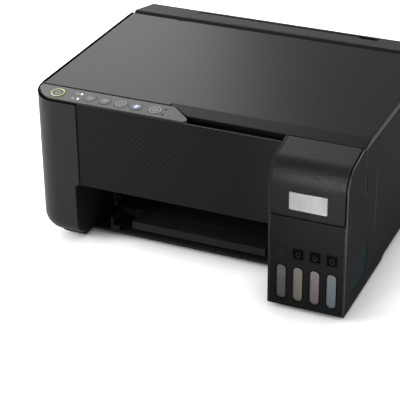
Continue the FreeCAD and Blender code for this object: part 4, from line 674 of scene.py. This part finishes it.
def sign(name, paths, width, place, body, finish):
    """Small printed sign: flat bands along paths in mm; a path whose ends meet is closed."""
    shape = bmesh.new()
    for path in paths:
        flat_points, closed = split(path)
        points = [Vector(point) * MM for point in flat_points]
        count = len(points)
        sections = []
        for i, point in enumerate(points):
            before = points[i - 1] if closed or i else point
            after = points[(i + 1) % count] if closed or i + 1 < count else point
            ahead = (after - before).normalized()
            side = Vector((-ahead.y, ahead.x)) * width / 2
            rim = ((point + side, -PRINT_RISE), (point + side, PRINT_RISE),
                   (point - side, PRINT_RISE), (point - side, -PRINT_RISE))
            sections.append([shape.verts.new(place(flat.x, flat.y, rise)) for flat, rise in rim])
        for i in range(count if closed else count - 1):
            first = sections[i]
            second = sections[(i + 1) % count]
            for j in range(4):
                k = (j + 1) % 4
                shape.faces.new((first[j], first[k], second[k], second[j]))
        if not closed:
            shape.faces.new(sections[0])
            shape.faces.new(sections[-1])
    link(name, closed_mesh(name, shape), body, finish)


def button_sign(name, number, paths, width, finish=sign_pale):
    """Sign on a panel button."""
    sign(name, paths, width, on_button(BUTTON_X[number - 1]), "panel_button_%d" % number, finish)


def screw(name, place, body):
    """Domed screw head with a cross recess."""
    turns = [math.radians(360.0 / SCREW_STEPS * i) for i in range(SCREW_STEPS)]
    rows = []
    for i in range(SCREW_ROWS + 1):
        radius = SCREW_R * max(i, SCREW_CORE) / SCREW_ROWS
        dome = SCREW_RISE * math.sqrt(1.0 - DOME_SHARE * (radius / SCREW_R) ** 2)
        row = []
        for turn in turns:
            across = radius * math.cos(turn)
            up = radius * math.sin(turn)
            near, far = sorted((abs(across), abs(up)))
            recess = SLOT_DEEP if near < SLOT_W / 2 and far < SLOT_REACH else 0.0
            row.append(place(across, up, dome - recess))
        rows.append(row)
    rows.append([place(SCREW_R * math.cos(turn), SCREW_R * math.sin(turn), -SLOT_DEEP)
                 for turn in turns])
    link(name, rows_mesh(name, rows), body, screw_steel)


# Pieces: the tank unit's plate, pads and windows

BADGE_SIZE = (40.6 * MM, 19.7 * MM)
BADGE_R = 1.4 * MM
BADGE_STEPS = [(0.0, -0.2 * MM), (0.0, 0.5 * MM), (0.2 * MM, 0.7 * MM), (0.9 * MM, 0.7 * MM),
               (1.1 * MM, 0.55 * MM)]
BADGE_X = 145.9 * MM
BADGE_Z = 129.65 * MM
PAD_SIZE = (11.5 * MM, 12.5 * MM)
PAD_R = 0.8 * MM
PAD_RISE = 0.3 * MM
PAD_STEPS = [(0.0, -0.2 * MM), (0.0, 0.2 * MM), (0.15 * MM, PAD_RISE)]
PAD_Z = 69.2 * MM
WINDOW_X = [(118.2 + WINDOW_STEP * i) * MM for i in range(len(INK_TINTS))]
WINDOW_Z = 33.1 * MM
WINDOW_W = 11.8
WINDOW_H = 41.2
WINDOW_R = 5.0
SHADE_INSET = 0.6

plate("badge_plate", BADGE_SIZE, BADGE_R, BADGE_STEPS, on_front(BADGE_X, BADGE_Z), "tank_cover",
      badge_silver)

window_rim = rounded_rectangle(WINDOW_W - SHADE_INSET, WINDOW_H - SHADE_INSET, WINDOW_R)
for number, x in enumerate(WINDOW_X, start=1):
    first = number == 1
    plate("ink_pad_%d" % number, PAD_SIZE, PAD_R, PAD_STEPS, on_front(x, PAD_Z), "chassis",
          shaded_tank_black if first else pad_black)
    # Painted shade: a black ring round each window, where its recess falls into shade.
    bead("window_recess_shade_%d" % number, [window_rim + window_rim[:1]], 1.0 * MM,
         on_front(x, WINDOW_Z), "chassis", painted_shade_black)
    sign("ink_sign_%d" % number, [drop(-1.3, 2.1)], 0.6 * MM, on_front(x, PAD_Z, PAD_RISE),
         "chassis", case_black if first else pad_sign)


# Pieces: signs on the control panel

SHEET_LAMP_IN = 5.4 * MM
INK_LAMP_IN = 6.0 * MM

bead("power_ring", [ring(7.1)], 1.1 * MM, on_button(POWER_X), "power_button", lime_guide)
sign("power_sign", [arc(0.0, 0.0, 2.3, 125, 415), [(0.0, 1.0), (0.0, 3.2)]], 0.7 * MM,
     on_button(POWER_X), "power_button", sign_pale)
sign("sheet_lamp_sign", [corners(0.0, 0.0, 3.6, 2.0)], 0.9 * MM,
     on_panel(LAMP_X - SHEET_LAMP_IN, BUTTON_Y + LIGHT_STEP), "chassis", sign_pale)
sign("ink_lamp_sign", [drop(-0.6, 1.0)], 0.9 * MM,
     on_panel(LAMP_X - INK_LAMP_IN, BUTTON_Y - LIGHT_STEP), "chassis", sign_pale)
button_sign("sheet_sign", 1, [corners(0.0, 0.0, 6.4, 3.6), [(-1.8, 0.6), (1.8, 0.6)],
                              [(-1.8, -0.6), (1.8, -0.6)]], 0.7 * MM)
button_sign("copy_sign", 2, [corners(-0.9, -0.7, 4.0, 3.4), corners(0.9, 0.7, 4.0, 3.4)], 0.8 * MM)
button_sign("start_sign", 3, [ring(5.6), ring(2.6, 4)], 0.8 * MM)
button_sign("lit_halo", 4, [ring(3.4)], 3.6 * MM, halo_blue)
button_sign("lit_sign", 4, [kite(1.0), kite(0.6), kite(0.25)], 1.3 * MM, blue_guide)
button_sign("stop_sign", 5, [ring(6.2), ring(2.4)], 0.9 * MM)


# Pieces: dark strips of painted shade on rims, recesses and seams, pale beads of painted highlight,
# and screws; paths in mm

LID_SHADE_SIZE = (3.4 * MM, 222.0 * MM)
LID_SHADE_R = 1.0 * MM
LID_SHADE_STEPS = [(0.0, -0.3 * MM), (0.0, 0.15 * MM), (0.15 * MM, 0.3 * MM)]
COLUMN_R = 27.2
COLUMN_X = -159.5
COLUMN_Y = -112.5
COLUMN_REAR = -110.0
COLUMN_SINK = 1.0 * MM
PANEL_SEAM_X = -130.85
PANEL_SEAM_Z = (78.5, 174.0)
COVER_R = 24.0
COVER_TURN = 79.3
COVER_ARC_Y = -149.5
COVER_ARC_Z = 147.1
COVER_REAR_Y = -125.8
COVER_REAR_Z = 176.0
COVER_LOW = 110.5
COVER_SEAM_X = 185.3 * MM
SIDE_LOW = 7.0
SIDE_BEAD_X = 187.0 * MM
CHEEK_REAR = -116.6
CHEEK_Z = (117.0, 170.0)
SIDE_CREASE = -79.5
CREASE_Z = (62.0, 134.0)
CHEEK_SINK = 0.15 * MM
SCREW_PLACES = ((-144.0, 22.0), (-144.0, 155.0), (144.0, 22.0), (144.0, 155.0))


def cover_edge(inset, low):
    """Path up the tank unit's front, over its rounded top and back to the lid."""
    return ([(TANK_FRONT / MM + inset, low)]
            + arc(COVER_ARC_Y, COVER_ARC_Z, COVER_R - inset, 180, 180 - COVER_TURN)
            + [(COVER_REAR_Y, COVER_REAR_Z - inset)])


def upright_line(place, span):
    """Straight path upwards."""
    return [(place, up) for up in span]


# Painted shade: a black strip along the lid's left edge, where its rim falls into shade.
plate("lid_rim_shade", LID_SHADE_SIZE, LID_SHADE_R, LID_SHADE_STEPS, on_lid_edge, "lid", painted_shade_black)
column_path = ([(COLUMN_X - COLUMN_R, COLUMN_REAR)] + arc(COLUMN_X, COLUMN_Y, COLUMN_R, 180, 270)
               + [(PANEL_SEAM_X, COLUMN_Y - COLUMN_R)])
# Painted shade: a black bead in the gap round the column's top, where shade falls.
bead("column_gap_shade", [column_path], 2.2 * MM, on_panel(0.0, 0.0, -COLUMN_SINK), "chassis",
     painted_shade_black)
# Painted shade: a black bead in the seam between the tank cover and the right cheek, where shade
# falls.
bead("cover_seam_shade", [cover_edge(0.2, COVER_LOW)], 1.3 * MM, on_side(COVER_SEAM_X), "chassis",
     painted_shade_black)
# Painted highlight: pale beads along the side's rounded front edge and its creases.
bead("side_bead", [cover_edge(0.5, SIDE_LOW)], 1.2 * MM, on_side(SIDE_BEAD_X), "chassis",
     pale_highlight_bead)
bead("cheek_bead", [upright_line(CHEEK_REAR, CHEEK_Z), upright_line(SIDE_CREASE, CREASE_Z)],
     0.7 * MM, on_side(cad_high[0] - CHEEK_SINK), "chassis", pale_highlight_bead)
# Painted shade: a black bead in the seam beside the column, where shade falls.
bead("panel_seam_shade", [upright_line(PANEL_SEAM_X, PANEL_SEAM_Z)], 1.0 * MM, on_panel_face, "chassis",
     painted_shade_black)
for number, (x, z) in enumerate(SCREW_PLACES, start=1):
    screw("rear_screw_%d" % number, on_rear(x * MM, z * MM), "chassis")


# Studio

AMBIENT = 0.35
BACKDROP = 1.0
FLOOR_HALF = 12.0
FLOOR_DARK = grey(0.8)
FLOOR_PALE = grey(0.83)
FLOOR_GLOW = 0.66
SHADOW_REACH = 0.05
SHADOW_SAMPLES = 16
SHADOW_POWER = 1.5
WHITE = grey(1.0)

CAMERA_PLACE = (0.5778, -1.4055, 0.8439)
CAMERA_TARGET = (0.0137, -0.1413, 0.0900)
CAMERA_ROLL = -0.63
SENSOR_MM = 36.0
LENS_MM = 134.5
CLIP_START = 0.05
CLIP_END = 60.0

# Name, place, target, width, height, power and beam of each lamp
LAMPS = (
    ("sky_panel", (-0.97, 1.05, 0.95), (-0.05, 0.0, 0.15), 1.05, 0.9, 24.5, 180.0),
    ("front_left_panel", (-0.66, -0.62, 0.42), (-0.1, -0.15, 0.12), 0.4, 0.35, 6.5, 180.0),
    ("cover_strip_low", (-0.3, -1.35, 0.16), (0.19, -0.165, 0.16), 0.1, 0.2, 0.095, 10.0),
    ("cover_strip_high", (-0.3, -1.35, 0.46), (0.19, -0.165, 0.164), 0.1, 0.2, 0.14, 10.0),
    ("right_panel", (1.4, 0.25, 0.75), (0.18, 0.0, 0.08), 0.9, 0.9, 6.0, 180.0),
    ("side_panel", (-1.4, -0.2, 0.5), (-0.15, -0.1, 0.1), 0.9, 0.9, 10.0, 180.0),
)


def aimed(place, target, roll=0.0):
    """Matrix of a lamp or camera that looks at target, turned by roll about its line of sight."""
    ahead = (Vector(target) - Vector(place)).normalized()
    right = ahead.cross(Vector((0.0, 0.0, 1.0))).normalized()
    up = right.cross(ahead)
    side = right * math.cos(roll) + up * math.sin(roll)
    over = up * math.cos(roll) - right * math.sin(roll)
    made = Matrix((side, over, -ahead)).transposed().to_4x4()
    made.translation = Vector(place)
    return made


def softbox(name, place, target, width, height, power, beam):
    """Area lamp that faces target; a beam under 180 degrees keeps its light together."""
    lamp = bpy.data.lights.new(name, "AREA")
    lamp.shape = "RECTANGLE"
    lamp.size = width
    lamp.size_y = height
    lamp.energy = power
    lamp.spread = math.radians(beam)
    made = bpy.data.objects.new(name, lamp)
    scene.collection.objects.link(made)
    made.matrix_world = aimed(place, target)
    made.visible_camera = False


def seen(tree):
    """One for rays that reach the eye straight, by a mirror or through glass."""
    path = add(tree, "ShaderNodeLightPath").outputs
    mirrored = math_node(tree, "MAXIMUM", path["Is Glossy Ray"], path["Is Transmission Ray"])
    return math_node(tree, "MAXIMUM", path["Is Camera Ray"], mirrored)


def make_world():
    """White backdrop to the eye, dimmer as a source of light."""
    world = bpy.data.worlds.new("studio")
    scene.world = world
    world.use_nodes = True
    tree = world.node_tree
    tree.nodes.clear()
    back = add(tree, "ShaderNodeBackground", Color=WHITE,
               Strength=spread(tree, seen(tree), AMBIENT, BACKDROP))
    add(tree, "ShaderNodeOutputWorld", Surface=back.outputs["Background"])


def make_floor():
    """White floor that glows to the eye, with a painted contact shadow: the glow is dimmed where
    something stands close over it.
    """
    shape = bmesh.new()
    bmesh.ops.create_grid(shape, x_segments=1, y_segments=1, size=FLOOR_HALF)
    mesh = bpy.data.meshes.new("floor")
    shape.to_mesh(mesh)
    shape.free()
    made = bpy.data.objects.new("floor", mesh)
    scene.collection.objects.link(made)
    finish, tree, shader, place = new_material("floor_white")
    cloud = noise(tree, place, 3.0)
    # Painted shadow: ambient occlusion dims the floor's glow close under and beside the object.
    open_sky = add(tree, "ShaderNodeAmbientOcclusion", {"samples": SHADOW_SAMPLES},
                   Distance=SHADOW_REACH)
    lit = math_node(tree, "POWER", open_sky.outputs["AO"], SHADOW_POWER)
    glow = math_node(tree, "MULTIPLY", spread(tree, seen(tree), 0.0, FLOOR_GLOW), lit)
    fill(tree, shader, Base_Color=mix(tree, cloud, FLOOR_DARK, FLOOR_PALE), Roughness=0.9,
         Specular_IOR_Level=0.1, Emission_Color=WHITE, Emission_Strength=glow)
    mesh.materials.append(finish)


def make_camera():
    """Camera fitted to the photo."""
    lens = bpy.data.cameras.new("camera")
    lens.sensor_width = SENSOR_MM
    lens.lens = LENS_MM
    lens.clip_start = CLIP_START
    lens.clip_end = CLIP_END
    made = bpy.data.objects.new("camera", lens)
    scene.collection.objects.link(made)
    made.matrix_world = aimed(CAMERA_PLACE, CAMERA_TARGET, math.radians(CAMERA_ROLL))
    scene.camera = made


make_world()
make_floor()
make_camera()
for lamp_row in LAMPS:
    softbox(*lamp_row)
scene.view_settings.view_transform = "Standard"
